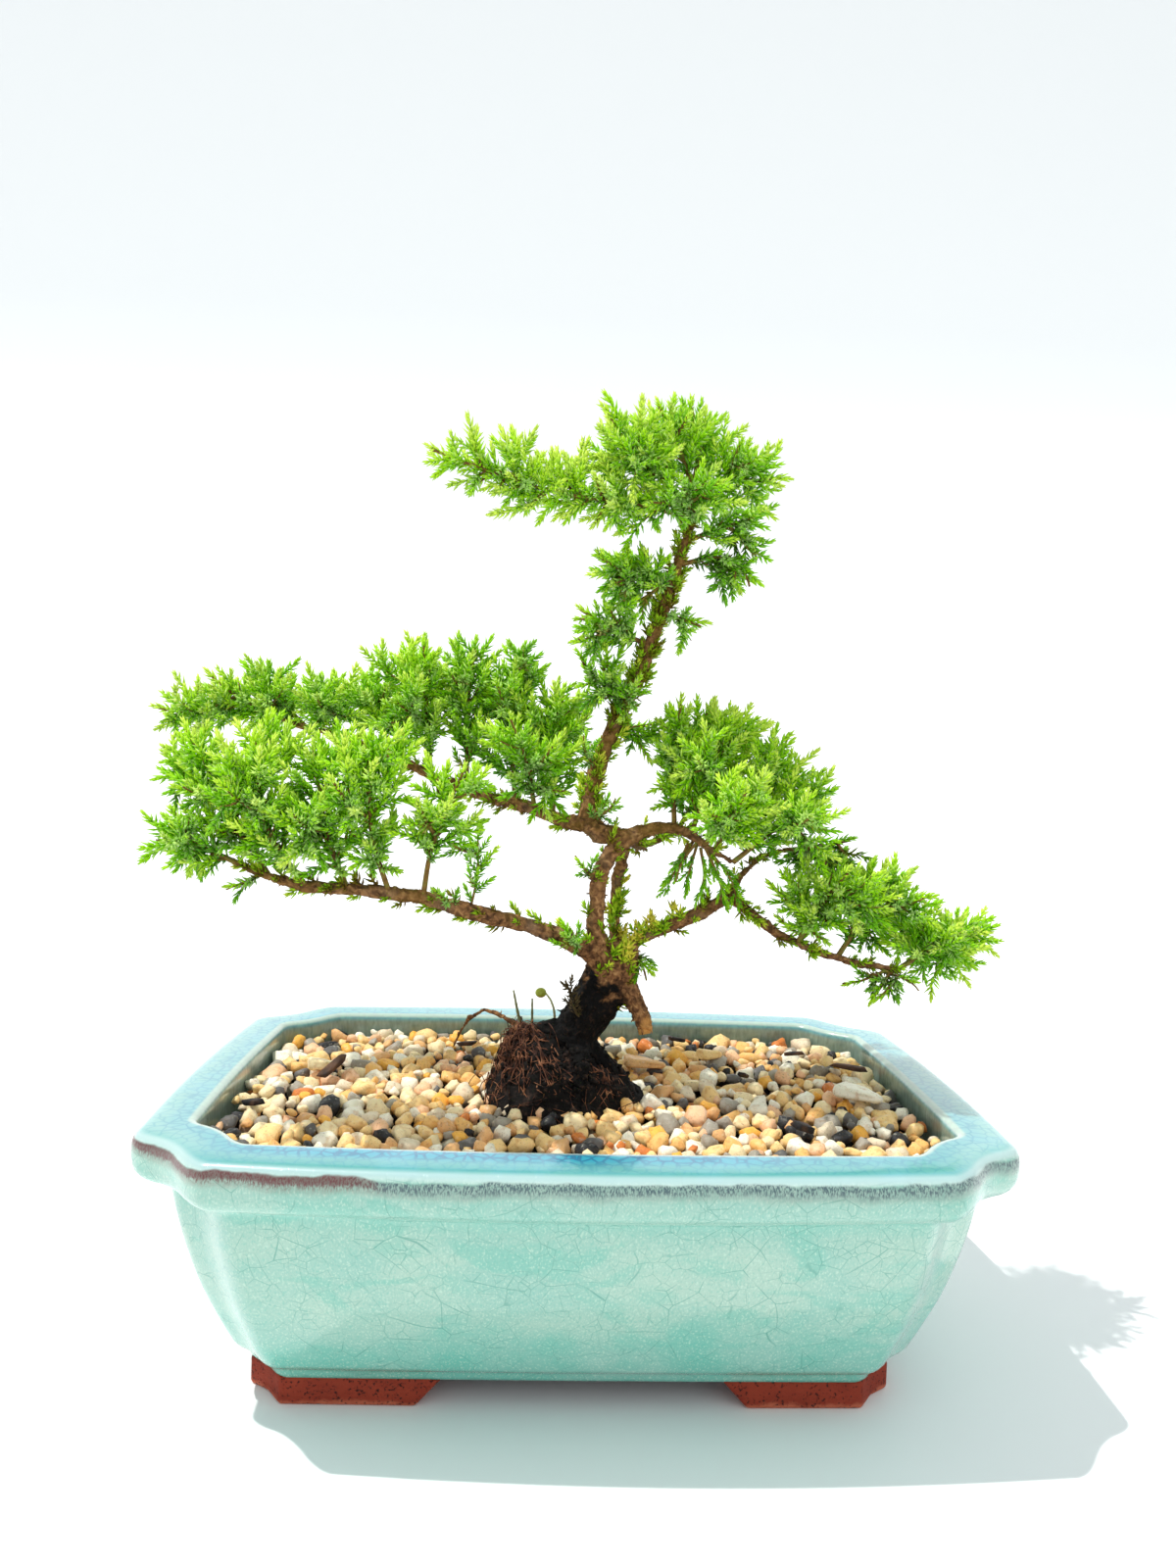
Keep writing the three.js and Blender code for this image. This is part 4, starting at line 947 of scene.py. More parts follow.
gravel = bmesh.new()
gravel.verts.layers.float.new("stone")
LAYERS = (
    (low_stones, coarse_pebbles, GRAVEL_TOP - 3.8, 0.8),
    (top_stones, fine_pebbles, GRAVEL_TOP - 1.2, 1.1),
)
for stones, shapes, level, spread in LAYERS:
    for first in range(0, len(stones), BATCH):
        gravel.from_mesh(gravel_batch(draw, stones[first:first + BATCH], shapes, level, spread))
print("vertices in the gravel:", len(gravel.verts))

# %% [markdown]
# River gravel is mostly quartz and feldspar: cream, straw yellow, pink and orange, with a few grey and
# black stones. The number picks the stone, and noise gives it darker grain, stains and a dusty bloom.
# Pebbles that lie lower are darkened as painted shade in the gaps.

# %% The gravel's finish
river = Finish("river gravel", roughness=0.55, specular=0.35)
number = river.attribute("stone")
KINDS = [
    (0.0, 255, 232, 184), (0.16, 255, 216, 148), (0.31, 250, 196, 118),
    (0.41, 250, 200, 156), (0.49, 238, 184, 124), (0.56, 255, 248, 228),
    (0.7, 238, 220, 190), (0.77, 255, 190, 82), (0.82, 222, 132, 64),
    (0.85, 168, 160, 146), (0.91, 100, 98, 96), (0.955, 40, 40, 44),
]
kind = river.ramp(number, KINDS, steps=True)
veins = river.grain(2.2, detail=4)
tinted = river.mix(river.fade(veins, 0.5, 0.75, 0, 0.5), kind, paint(200, 146, 88), kind="MULTIPLY")
speckled = river.mix(river.fade(river.grain(0.6, detail=3), 0.58, 0.7, 0, 0.4), tinted, paint(110, 80, 54))
bloom = river.fade(river.grain(1.5), 0.58, 0.8, 0, 0.35)
surface = river.mix(bloom, speckled, paint(252, 246, 228))
# Painted shade: pebbles that lie lower, between the others, fade towards near black.
gap_shade = river.fade(river.along("Z"), GRAVEL_TOP - 1.8, GRAVEL_TOP - 5, 0, 0.65)
river.colour(river.mix(gap_shade, surface, paint(26, 20, 16)))
river.set("Roughness", river.fade(river.grain(4), 0.3, 0.7, 0.38, 0.7))
river.bumps(river.grain(0.9, detail=4), 0.2)
make_piece("river_gravel", gravel, [river], ["gravel"])

# %% [markdown]
# A few larger stones lie on the gravel: a pale flat one at the right, and a tan slab behind the trunk.
# Each is one of the pebble shapes, laid down at its place and subdivided, because a large stone shows its
# corners more. The first value of each is its number, which picks its colour.

# %% Large stones
LARGE_STONES = [
    (0.62, (93, -8, 79), (9.5, 5.6, 3.4), -0.6, 0.05),
    (0.53, (24, 22, 79), (9.5, 5.2, 2.6), 0.1, 0.12),
    (0.2, (50, 34, 79), (6, 4, 3), 0.5, 0.1),
    (0.1, (-88, 12, 79), (6.5, 4.2, 3), 0.4, 0.15),
]


def lie_down(model, shape, place, size, turn, lean):
    at = Matrix.Translation(place)
    grown = Matrix.Diagonal((*size, 1))
    return add_copy(model, shape, at @ Matrix.Rotation(turn, 4, "Z") @ Matrix.Rotation(lean, 4, "Y") @ grown)


larger = bmesh.new()
large_layer = larger.verts.layers.float.new("stone")
for number, place, size, turn, lean in LARGE_STONES:
    for vert in lie_down(larger, fine_pebbles[3], place, size, turn, lean):
        vert[large_layer] = number
bmesh.ops.subdivide_edges(larger, edges=larger.edges, cuts=2, use_grid_fill=True, smooth=0.8)
make_piece("large_pebbles", larger, [river])

# %% [markdown]
# Chips of charred bark lie there too, near black with some brown. A chip has flat faces and broken edges, so
# it starts as a block whose edges are bevelled, and noise then bends it a little.

# %% Chips of bark
CHIP_BEVEL = 0.35
CHIP_BEND = 0.4
FAR_APART = 30
CHIPS = [
    ((-83, 6, 80), (5.2, 1.9, 0.9), 0.9, -0.5), ((82, 34, 80), (4.6, 1.6, 0.7), 1.9, 0.3),
    ((66, -44, 80), (3.2, 2.4, 1.0), 0.3, 0.3), ((98, 20, 79.5), (7, 1.5, 0.8), 2.2, 0.1),
    ((-100, -30, 79.5), (4, 1.8, 0.9), 2.4, 0.2), ((40, 52, 79.5), (3.4, 1.4, 0.7), 0.4, 0.2),
    ((-40, 40, 79.5), (3.6, 1.5, 0.7), 2.7, 0.2), ((58, 8, 79.5), (2.8, 1.6, 0.7), 1.2, 0.4),
]


def chip_shape(draw):
    model = bmesh.new()
    bmesh.ops.create_cube(model, size=2)
    bmesh.ops.bevel(model, geom=model.edges[:], offset=CHIP_BEVEL, offset_type="OFFSET", segments=2,
                    profile=0.5, affect="EDGES", material=-1)
    shift = Vector((draw.uniform(0, SOME_SHIFT), draw.uniform(0, SOME_SHIFT), 0))
    for vert in model.verts:
        place = vert.co * 0.7 + shift
        vert.co += Vector([noise.noise(place + UP * FAR_APART * axis) for axis in range(3)]) * CHIP_BEND
    return to_mesh(model, "chip_shape")


chips = bmesh.new()
for place, size, turn, lean in CHIPS:
    lie_down(chips, chip_shape(draw), place, size, turn, lean)
charred = Finish("bark chips", roughness=0.7, specular=0.3)
charred.colour(charred.ramp(charred.grain(7), [
    (0.4, 26, 24, 26), (0.6, 92, 62, 44),
]))
charred.bumps(charred.grain(1, vector=charred.stretched((1, 0.2, 1))), 0.4)
make_piece("bark_chips", chips, [charred])

# %% [markdown]
# ## The wood
#
# Trunk, stems, branches and roots grew as one piece. The solid has their routes and thicknesses, but with
# flat sides. So a copy of it is merged, remeshed into small even squares, smoothed round, and then shaken
# along its surface: swellings first, then the furrows and plates of old bark, deeper where it is thick.

# %% Round wood from the solid
WOOD_VOXEL = 0.72
ROUNDING = 10
ROUNDING_LOSS = 0.22
SAME_PLACE = 0.00001

wood = bmesh.new()
wood.from_mesh(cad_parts["juniper_wood"].data)
bmesh.ops.remove_doubles(wood, verts=wood.verts, dist=SAME_PLACE)
bmesh.ops.scale(wood, vec=(1 / MM, 1 / MM, 1 / MM), verts=wood.verts)
rough_wood = add_object("rough_wood", to_mesh(wood, "rough_wood"))
remesh = rough_wood.modifiers.new("even squares", "REMESH")
remesh.mode = "VOXEL"
remesh.voxel_size = WOOD_VOXEL
depsgraph = bpy.context.evaluated_depsgraph_get()
even_mesh = bpy.data.meshes.new_from_object(rough_wood.evaluated_get(depsgraph))
bpy.data.objects.remove(rough_wood)
wood = bmesh.new()
wood.from_mesh(even_mesh)
for _ in range(ROUNDING):
    bmesh.ops.smooth_vert(wood, verts=wood.verts, factor=0.5,
                          use_axis_x=True, use_axis_y=True, use_axis_z=True)
wood.normal_update()
for vert, out in [(vert, vert.normal.copy()) for vert in wood.verts]:
    vert.co += out * ROUNDING_LOSS
print("squares of wood:", len(wood.faces))

# %% [markdown]
# The routes of the limbs, with a radius in millimetres for each point, are repeated from the source of
# the solids. They tell each spot of bark which way its limb runs and how thick it is.

# %% The routes of the limbs
LIMBS = {
    "trunk": [
        (-6, 0, 66, 7.6), (-5, 0, 80, 7.6), (-3, 0, 90, 7.2), (-0.5, -1, 97, 7.4), (2.6, -1, 102, 7.9),
        (6.6, -2, 109, 8), (10.5, -2, 115, 8.8), (12.5, -3, 121, 8.2), (13.5, -3, 126, 5.6),
    ],
    "front_stem": [
        (10, -5, 117, 4.6), (6, -8, 125, 3.4), (3.7, -10, 133, 2.6), (4, -11, 139, 2.5),
        (4.1, -11, 145, 2.5), (5.1, -11, 151, 2.6), (8.1, -10, 157, 2.8), (12.2, -8, 161, 3),
        (21.4, -7, 165, 2.2), (29.7, -8, 166, 1.8), (34, -12, 164, 1.5), (41, -15, 159, 1.3),
        (47, -18, 156, 1),
    ],
    "fork": [(12, -7, 164, 1.7), (18, 0, 158, 1.4), (24, 5, 160, 1.4), (32, 10, 163, 1.1)],
    "leader": [
        (10, -7, 163, 3), (4, -3, 163, 3.8), (1, 0, 167, 3.6), (1, 3, 174, 3.1), (5, 7, 188, 2.8),
        (11, 10, 203, 2.6), (17, 10, 215, 2.4), (20, 9, 226, 2.2), (25, 8, 240, 2), (28, 7, 251, 1.9),
        (31, 5, 261, 1.7), (32, 4, 271, 1.5), (33, 4, 282, 1.1),
    ],
    "upper_left": [
        (3, -1, 165, 2.8), (-7, 4, 166, 2.4), (-19, 10, 170, 2.2), (-34, 16, 173, 2.1),
        (-51, 22, 178, 1.9), (-69, 27, 186, 1.6), (-89, 30, 193, 1.3), (-105, 32, 196, 1),
    ],
    "back_stem": [
        (13, 2, 121, 2.6), (11.5, 11, 131, 2.1), (12, 12, 145, 2.1), (13.5, 4, 156, 2), (13, -5, 163, 2),
    ],
    "right_branch": [
        (11, -2, 118, 3), (19, -2, 128, 2.6), (27, -4, 132, 2.5), (39, -8, 138, 2.3), (48, -9, 144, 2.4),
        (54, -9, 139, 1.8), (64, -11, 132, 1.6), (77, -14, 127, 1.5), (89, -17, 124, 1.3),
        (102, -20, 123, 1),
    ],
    "right_riser": [(48, -9, 143, 1.8), (52, -4, 150, 1.3), (60, 2, 156, 1.1), (69, 8, 158, 0.9)],
    "lower_left": [
        (8, -4, 117, 3.4), (1, -9, 125, 3), (-8, -14, 130, 2.8), (-21, -20, 135, 2.6),
        (-36, -25, 139, 2.4), (-51, -30, 144, 2.3), (-68, -34, 146, 2), (-85, -37, 147, 1.7),
        (-96, -38, 150, 1.3), (-105, -38, 154, 0.9),
    ],
    "cut_stub": [
        (12, -3, 116, 4.5), (16.5, -7, 110, 3.7), (19.5, -8.5, 105, 3.1), (20.8, -9, 101.5, 2.7),
        (21.3, -9, 98.8, 2.4),
    ],
    "left_root": [
        (-3, 0, 95, 5), (-12, 3, 95, 3.4), (-20, 4, 90, 2.4), (-27, 3, 80, 1.6), (-29, 2, 73, 1.2),
    ],
    "front_root": [(0, -3, 92, 5), (1, -12, 87, 3), (-1, -20, 80, 2), (0, -26, 73, 1.3)],
    "right_root": [(1, -1, 92, 5), (8, -3, 87, 3), (14, -6, 80, 2), (19, -10, 73, 1.3)],
    "arching_root": [
        (-14, 3, 93, 1.8), (-18, 6, 93.5, 1.3), (-21.5, 9, 95.2, 1.1), (-27, 14, 97.2, 1),
        (-32.8, 20, 97.3, 1), (-38.9, 30, 91.2, 0.9), (-43, 42, 82.5, 0.8), (-46, 52, 74, 0.7),
    ],
}
ROUTE_STEPS = 4


def limb_points():
    """Close points along every limb, each with its direction and radius."""
    points = []
    for route in LIMBS.values():
        line = smooth_line(route, ROUTE_STEPS)
        for here, there in zip(line, line[1:]):
            points.append((here.xyz, (there - here).xyz.normalized(), here.w))
    return points


limb_line = limb_points()
print("points along the limbs:", len(limb_line))

# %% [markdown]
# Bark furrows run along a limb. So the noise that makes them is sampled at a place that is drawn together
# along the limb's direction, which stretches each bump into a ridge. A tree of points finds the nearest
# limb quickly.

# %% Furrowed bark
RIDGE_STRETCH = 0.28
limb_tree = KDTree(len(limb_line))
for index, (here, _, _) in enumerate(limb_line):
    limb_tree.insert(here, index)
limb_tree.balance()


def nearest_limb(place):
    return limb_line[limb_tree.find(place)[1]]


def bark_push(place):
    """How far bark stands out or in at a place, in millimetres."""
    _, direction, radius = nearest_limb(place)
    thick = min(radius / 6, 1)
    squeezed = place - direction * place.dot(direction) * (1 - RIDGE_STRETCH)
    swelling = noise.noise(place / 7) * (0.25 + 0.6 * thick)
    ridges = abs(noise.noise(squeezed / (1.1 + 1.2 * thick))) * (0.6 + 1.1 * thick)
    knots = max(noise.noise(place / 2.6 + Vector((40, 0, 0))) - 0.3, 0) * 1.4
    return swelling + knots - ridges + 0.25


wood.normal_update()
pushes = [vert.normal * bark_push(vert.co) for vert in wood.verts]
thick_layer = wood.verts.layers.float.new("thick")
for vert, push in zip(wood.verts, pushes):
    vert[thick_layer] = nearest_limb(vert.co)[2] / 10
    vert.co += push
bark_tree = BVHTree.FromBMesh(wood)
print("bark pushed at", len(pushes), "places")

# %% [markdown]
# Juniper bark comes off in thin flakes and strips. Each flake is a thin flattened drop that lies on the
# bark along the limb and lifts at one end. They are placed where a random point of the routes, sent
# outwards, meets the surface.

# %% Flakes and stubs on the bark
FLAKE_SEED = 9
FLAKE_COUNT = 420
STUB_COUNT = 150
LOWEST_FLAKE = GRAVEL_TOP + 6


def way_out(draw, here, direction, radius):
    """A random direction out of a limb, where it meets the bark, and the bark's own direction there."""
    side = direction.orthogonal().normalized()
    out = Matrix.Rotation(draw.uniform(0, math.tau), 3, direction) @ side
    hit, normal, _, _ = bark_tree.ray_cast(here + out * radius * 3, -out)
    return out, hit, normal


def point_on_bark(draw):
    """A random place on the bark, with the outward direction and that of its limb."""
    while True:
        here, direction, radius = draw.choice(limb_line)
        _, hit, normal = way_out(draw, here, direction, radius)
        if hit is not None and hit.z > LOWEST_FLAKE:
            return hit, normal, direction, radius


def flake_shape():
    model = bmesh.new()
    bmesh.ops.create_icosphere(model, subdivisions=1, radius=1)
    for vert in model.verts:
        narrowing = 1 - 0.45 * (vert.co.z + 1) / 2
        vert.co = Vector((vert.co.x * narrowing, vert.co.y, vert.co.z))
        vert.co.y += 0.35 * vert.co.z * vert.co.z
    return to_mesh(model, "flake_shape")


def lying_along(place, direction, out):
    """A turned place whose Z runs along direction and whose Y points out."""
    out = (out - direction * out.dot(direction)).normalized()
    turn = Matrix((out.cross(direction), out, direction)).transposed().to_4x4()
    return Matrix.Translation(place) @ turn


draw = random.Random(FLAKE_SEED)
flake_mesh = flake_shape()
flakes = bmesh.new()
for _ in range(FLAKE_COUNT):
    place, out, direction, radius = point_on_bark(draw)
    length = draw.uniform(0.9, 2.2) * (0.7 + radius / 9)
    at = lying_along(place, draw.choice([1, -1]) * direction, out)
    at = at @ Matrix.Rotation(draw.gauss(0.1, 0.2), 4, "X")
    add_copy(flakes, flake_mesh, at @ Matrix.Diagonal((0.32 * length, 0.16, length, 1)))
for _ in range(STUB_COUNT):
    place, out, direction, radius = point_on_bark(draw)
    up_and_out = (out + direction * draw.uniform(-0.4, 1.0)).normalized()
    at = lying_along(place, up_and_out, direction)
    add_copy(flakes, flake_mesh, at @ Matrix.Diagonal((0.3, 0.3, draw.uniform(0.7, 1.9), 1)))
print("flakes and stubs:", FLAKE_COUNT + STUB_COUNT)

# %% [markdown]
# Crumbs of soil lie on the mound and on the feet of the roots, which hides where one ends and the other
# starts. Each is a coarse pebble shape that drops from above on whichever is higher there.

# %% Crumbs of soil
CRUMB_COUNT = 460
CRUMB_SPREAD = 11
CRUMB_CENTRE = Vector((-4, -10, 0))
HIGHEST_CRUMB = 92

crumbs = bmesh.new()
for _ in range(CRUMB_COUNT):
    spot = CRUMB_CENTRE + Vector((draw.gauss(0, CRUMB_SPREAD), draw.gauss(0, CRUMB_SPREAD), HIGHEST_CRUMB))
    hits = [tree.ray_cast(spot, -UP)[0] for tree in (mound_tree, bark_tree)]
    landed = max((hit for hit in hits if hit is not None), key=lambda hit: hit.z, default=None)
    if landed is None or landed.z < GRAVEL_TOP:
        continue
    grown = Matrix.Scale(draw.uniform(0.4, 1.5), 4)
    add_copy(crumbs, draw.choice(coarse_pebbles), Matrix.Translation(landed) @ any_turn(draw, 1) @ grown)
make_piece("soil_crumbs", crumbs, [earth])

# %% [markdown]
# The bark is warm brown with grey, and tan where a flake has just come off. The lower trunk, low and to
# the left and near the soil, is painted almost black as painted shade. That darkening follows height and
# noise, so it ends raggedly, and the furrows are darker than the ridges because light and dust reach
# them less.

# %% The bark's finish
BROKEN_SPOT = (22.8, -12.4, 101.0)


def bark_finish(name, bright):
    bark = Finish(name, roughness=0.85, specular=0.2)
    plates = bark.grain(1.8, detail=6, distortion=0.6)
    colour = bark.ramp(plates, [
        (0.25, 52, 32, 20), (0.4, 98, 66, 42), (0.52, 138, 96, 62),
        (0.64, 172, 126, 82), (0.8, 208, 164, 112),
    ])
    colour = bark.mix(bark.fade(bark.grain(13), 0.52, 0.7, 0, 0.4), colour, paint(146, 124, 104))
    on_stems = bark.both(bark.fade(bark.along("Z"), 128, 150), 1 - bright)
    mossy = bark.both(bark.fade(bark.grain(9, detail=3), 0.42, 0.62, 0.1, 0.75), on_stems)
    colour = bark.mix(mossy, colour, paint(122, 92, 24))
    # Painted shade: the trunk below the crown, low and to the left, and its foot near the soil turn almost
    # black.
    slanting = bark.maths("MULTIPLY_ADD", bark.along("X"), 0.5, bark.along("Z"))
    ragged = bark.ragged(slanting, bark.grain(5, detail=4), 7)
    shade_low_left = bark.both(bark.fade(ragged, 121, 114), bark.fade(bark.along("X"), 17, 13.5))
    shaded_wood = bark.maths("MAXIMUM", shade_low_left, bark.fade(bark.along("Z"), 97, 91))
    trunk_shade = bark.both(shaded_wood, bark.fade(bark.along("X"), -20, -13))
    broken = bark.fade(bark.distance_to(BROKEN_SPOT), 4.0, 2.4, 0, 0.85)
    colour = bark.mix(broken, colour, paint(206, 150, 86))
    trunk_shade_colour = bark.mix(bark.fade(plates, 0.55, 0.75, 0, 0.7), paint(9, 8, 8), paint(64, 44, 32))
    bark.colour(bark.mix(trunk_shade, colour, trunk_shade_colour))
    fine = bark.relief(bark.grain(0.7, detail=4), 0.25)
    bark.bumps(plates, 0.6, over=fine)
    return bark


bark = bark_finish("flaky bark", 0.3)
flake_bark = bark_finish("lifted flakes", 0.9)
make_piece("flaky_wood", wood, [bark], ["juniper_wood"])
make_piece("bark_flakes", flakes, [flake_bark])

# %% [markdown]
# One branch was sawn off and left as a stub. Its end is pale wood with a dark heart, so it gets a small
# piece of its own: a domed disc with a ring pressed into it, just proud of the bark.

# %% The sawn stub's face
STUB_END = Vector((21.3, -9, 98.7))
STUB_DIRECTION = Vector((0.18, -0.3, -1)).normalized()
STUB_FACE_RADIUS = 2.1

stub = bmesh.new()
bmesh.ops.create_cone(stub, cap_ends=True, segments=20, radius1=STUB_FACE_RADIUS,
                      radius2=STUB_FACE_RADIUS * 0.94, depth=2.4)
outer_face = max(stub.faces, key=lambda face: face.calc_center_median().z)
for depth in (-0.15, 0.2, -0.35):
    bmesh.ops.inset_region(stub, faces=[outer_face], thickness=0.45, depth=depth, use_even_offset=True)
bmesh.ops.rotate(stub, matrix=STUB_DIRECTION.to_track_quat("Z", "Y").to_matrix(), verts=stub.verts)
bmesh.ops.translate(stub, vec=STUB_END, verts=stub.verts)
heartwood = Finish("sawn wood", roughness=0.8, specular=0.2)
heart = heartwood.fade(heartwood.distance_to(STUB_END), 1.0, 1.7)
heartwood.colour(heartwood.mix(heart, paint(70, 46, 24), paint(206, 152, 84)))
heartwood.bumps(heartwood.grain(0.5), 0.2)
make_piece("sawn_stub_face", stub, [heartwood])

# %% [markdown]
# ## The foliage
#
# A leafy stem carries side twigs, both carry twiglets, and all of them are ringed by short shoots full of
# sharp needles in threes. The model is nested in the same way: one needle is copied into a few shoots, and
# the shoots grow wherever there is room.
#
# A needle is an awl: widest a third of the way up, keeled below and flat above. Three sides and a ring
# are enough for it at this size, and tens of thousands of them stay affordable.

# %% One needle
NEEDLE_LENGTH = 4.2
NEEDLE_WIDTH = 1.25
NEEDLE_THICKNESS = 0.48
WIDEST = 0.36


def needle_shape():
    model = bmesh.new()
    share = model.verts.layers.float.new("needle_share")
    pale = model.faces.layers.float.new("pale")
    bmesh.ops.create_uvsphere(model, u_segments=3, v_segments=2, radius=1)
    for vert in model.verts:
        vert[share] = {-1: 0.0, 0: WIDEST, 1: 1.0}[round(vert.co.z)]
        along = vert[share] * NEEDLE_LENGTH
        vert.co = Vector((vert.co.x * NEEDLE_WIDTH / 2, vert.co.y * NEEDLE_THICKNESS, along))
    model.normal_update()
    for face in model.faces:
        face[pale] = 1.0 if face.normal.y < -0.8 else 0.0
    return to_mesh(model, "needle_shape")


needle = needle_shape()
print("faces of a needle:", len(needle.polygons))

# %% [markdown]
# On a shoot the needles stand in whorls of three, each whorl turned against the last. Low ones stand off
# widely, and towards the tip they close up like a brush. Young growth at the tip is paler, so each needle
# keeps how far up its shoot it sits.

# %% A few shoots
FOLIAGE_SEED = 12
WHORL_GAP = 1.3
SHOOT_CORE = 0.4
WIDE_OPEN = math.radians(46)
NEARLY_SHUT = math.radians(26)
AT_THE_TIP = math.radians(12)


def shoot_shape(draw, whorls, opening):
    """A shoot along Z, whose lowest needles stand off from it by opening."""
    model = bmesh.new()
    age = model.verts.layers.float.new("age")
    length = whorls * WHORL_GAP
    bend = Vector((draw.uniform(-0.1, 0.1), draw.uniform(-0.1, 0.1), 0.5)) * length
    line = [Vector((0, 0, 0)), bend, Vector((0, 0, length))]
    add_tube(model, line, tapered(line, SHOOT_CORE, 0.2), 3)
    frames = frames_along(smooth_line(line, 6))
    for whorl in range(whorls + 1):
        share = whorl / whorls
        here = frames[round(share * (len(frames) - 1))]
        lean = AT_THE_TIP + (opening - AT_THE_TIP) * (1 - share * share)
        size = 0.8 + 0.2 * min(share * 4, 1) - 0.3 * share ** 3
        for number in range(3):
            around = math.radians(120 * number + 60 * whorl) + draw.gauss(0, 0.2)
            turn = Matrix.Rotation(around, 4, "Z") @ Matrix.Rotation(-lean + draw.gauss(0, 0.12), 4, "X")
            grown = Matrix.Diagonal((1, 1, size * draw.uniform(0.85, 1.12), 1))
            for vert in add_copy(model, needle, here @ turn @ grown):
                vert[age] = share
    return to_mesh(model, "shoot_shape")


draw = random.Random(FOLIAGE_SEED)
long_shoots = [shoot_shape(draw, 7, WIDE_OPEN) for _ in range(5)]
sprout_shoots = [shoot_shape(draw, 3, WIDE_OPEN) for _ in range(5)]
closed_shoots = [shoot_shape(draw, 6, NEARLY_SHUT) for _ in range(4)]
print("faces of a long shoot:", len(long_shoots[0].polygons))
print("faces of a sprout:", len(sprout_shoots[0].polygons))

# %% [markdown]
# The routes of the leafy stems are repeated from the source of the solids, in millimetres: the main
# shoot's points, then its side twigs, each as the share of the route where it leaves and its tip. Where
# the real crown is dense, further twigs follow those that the solids have.

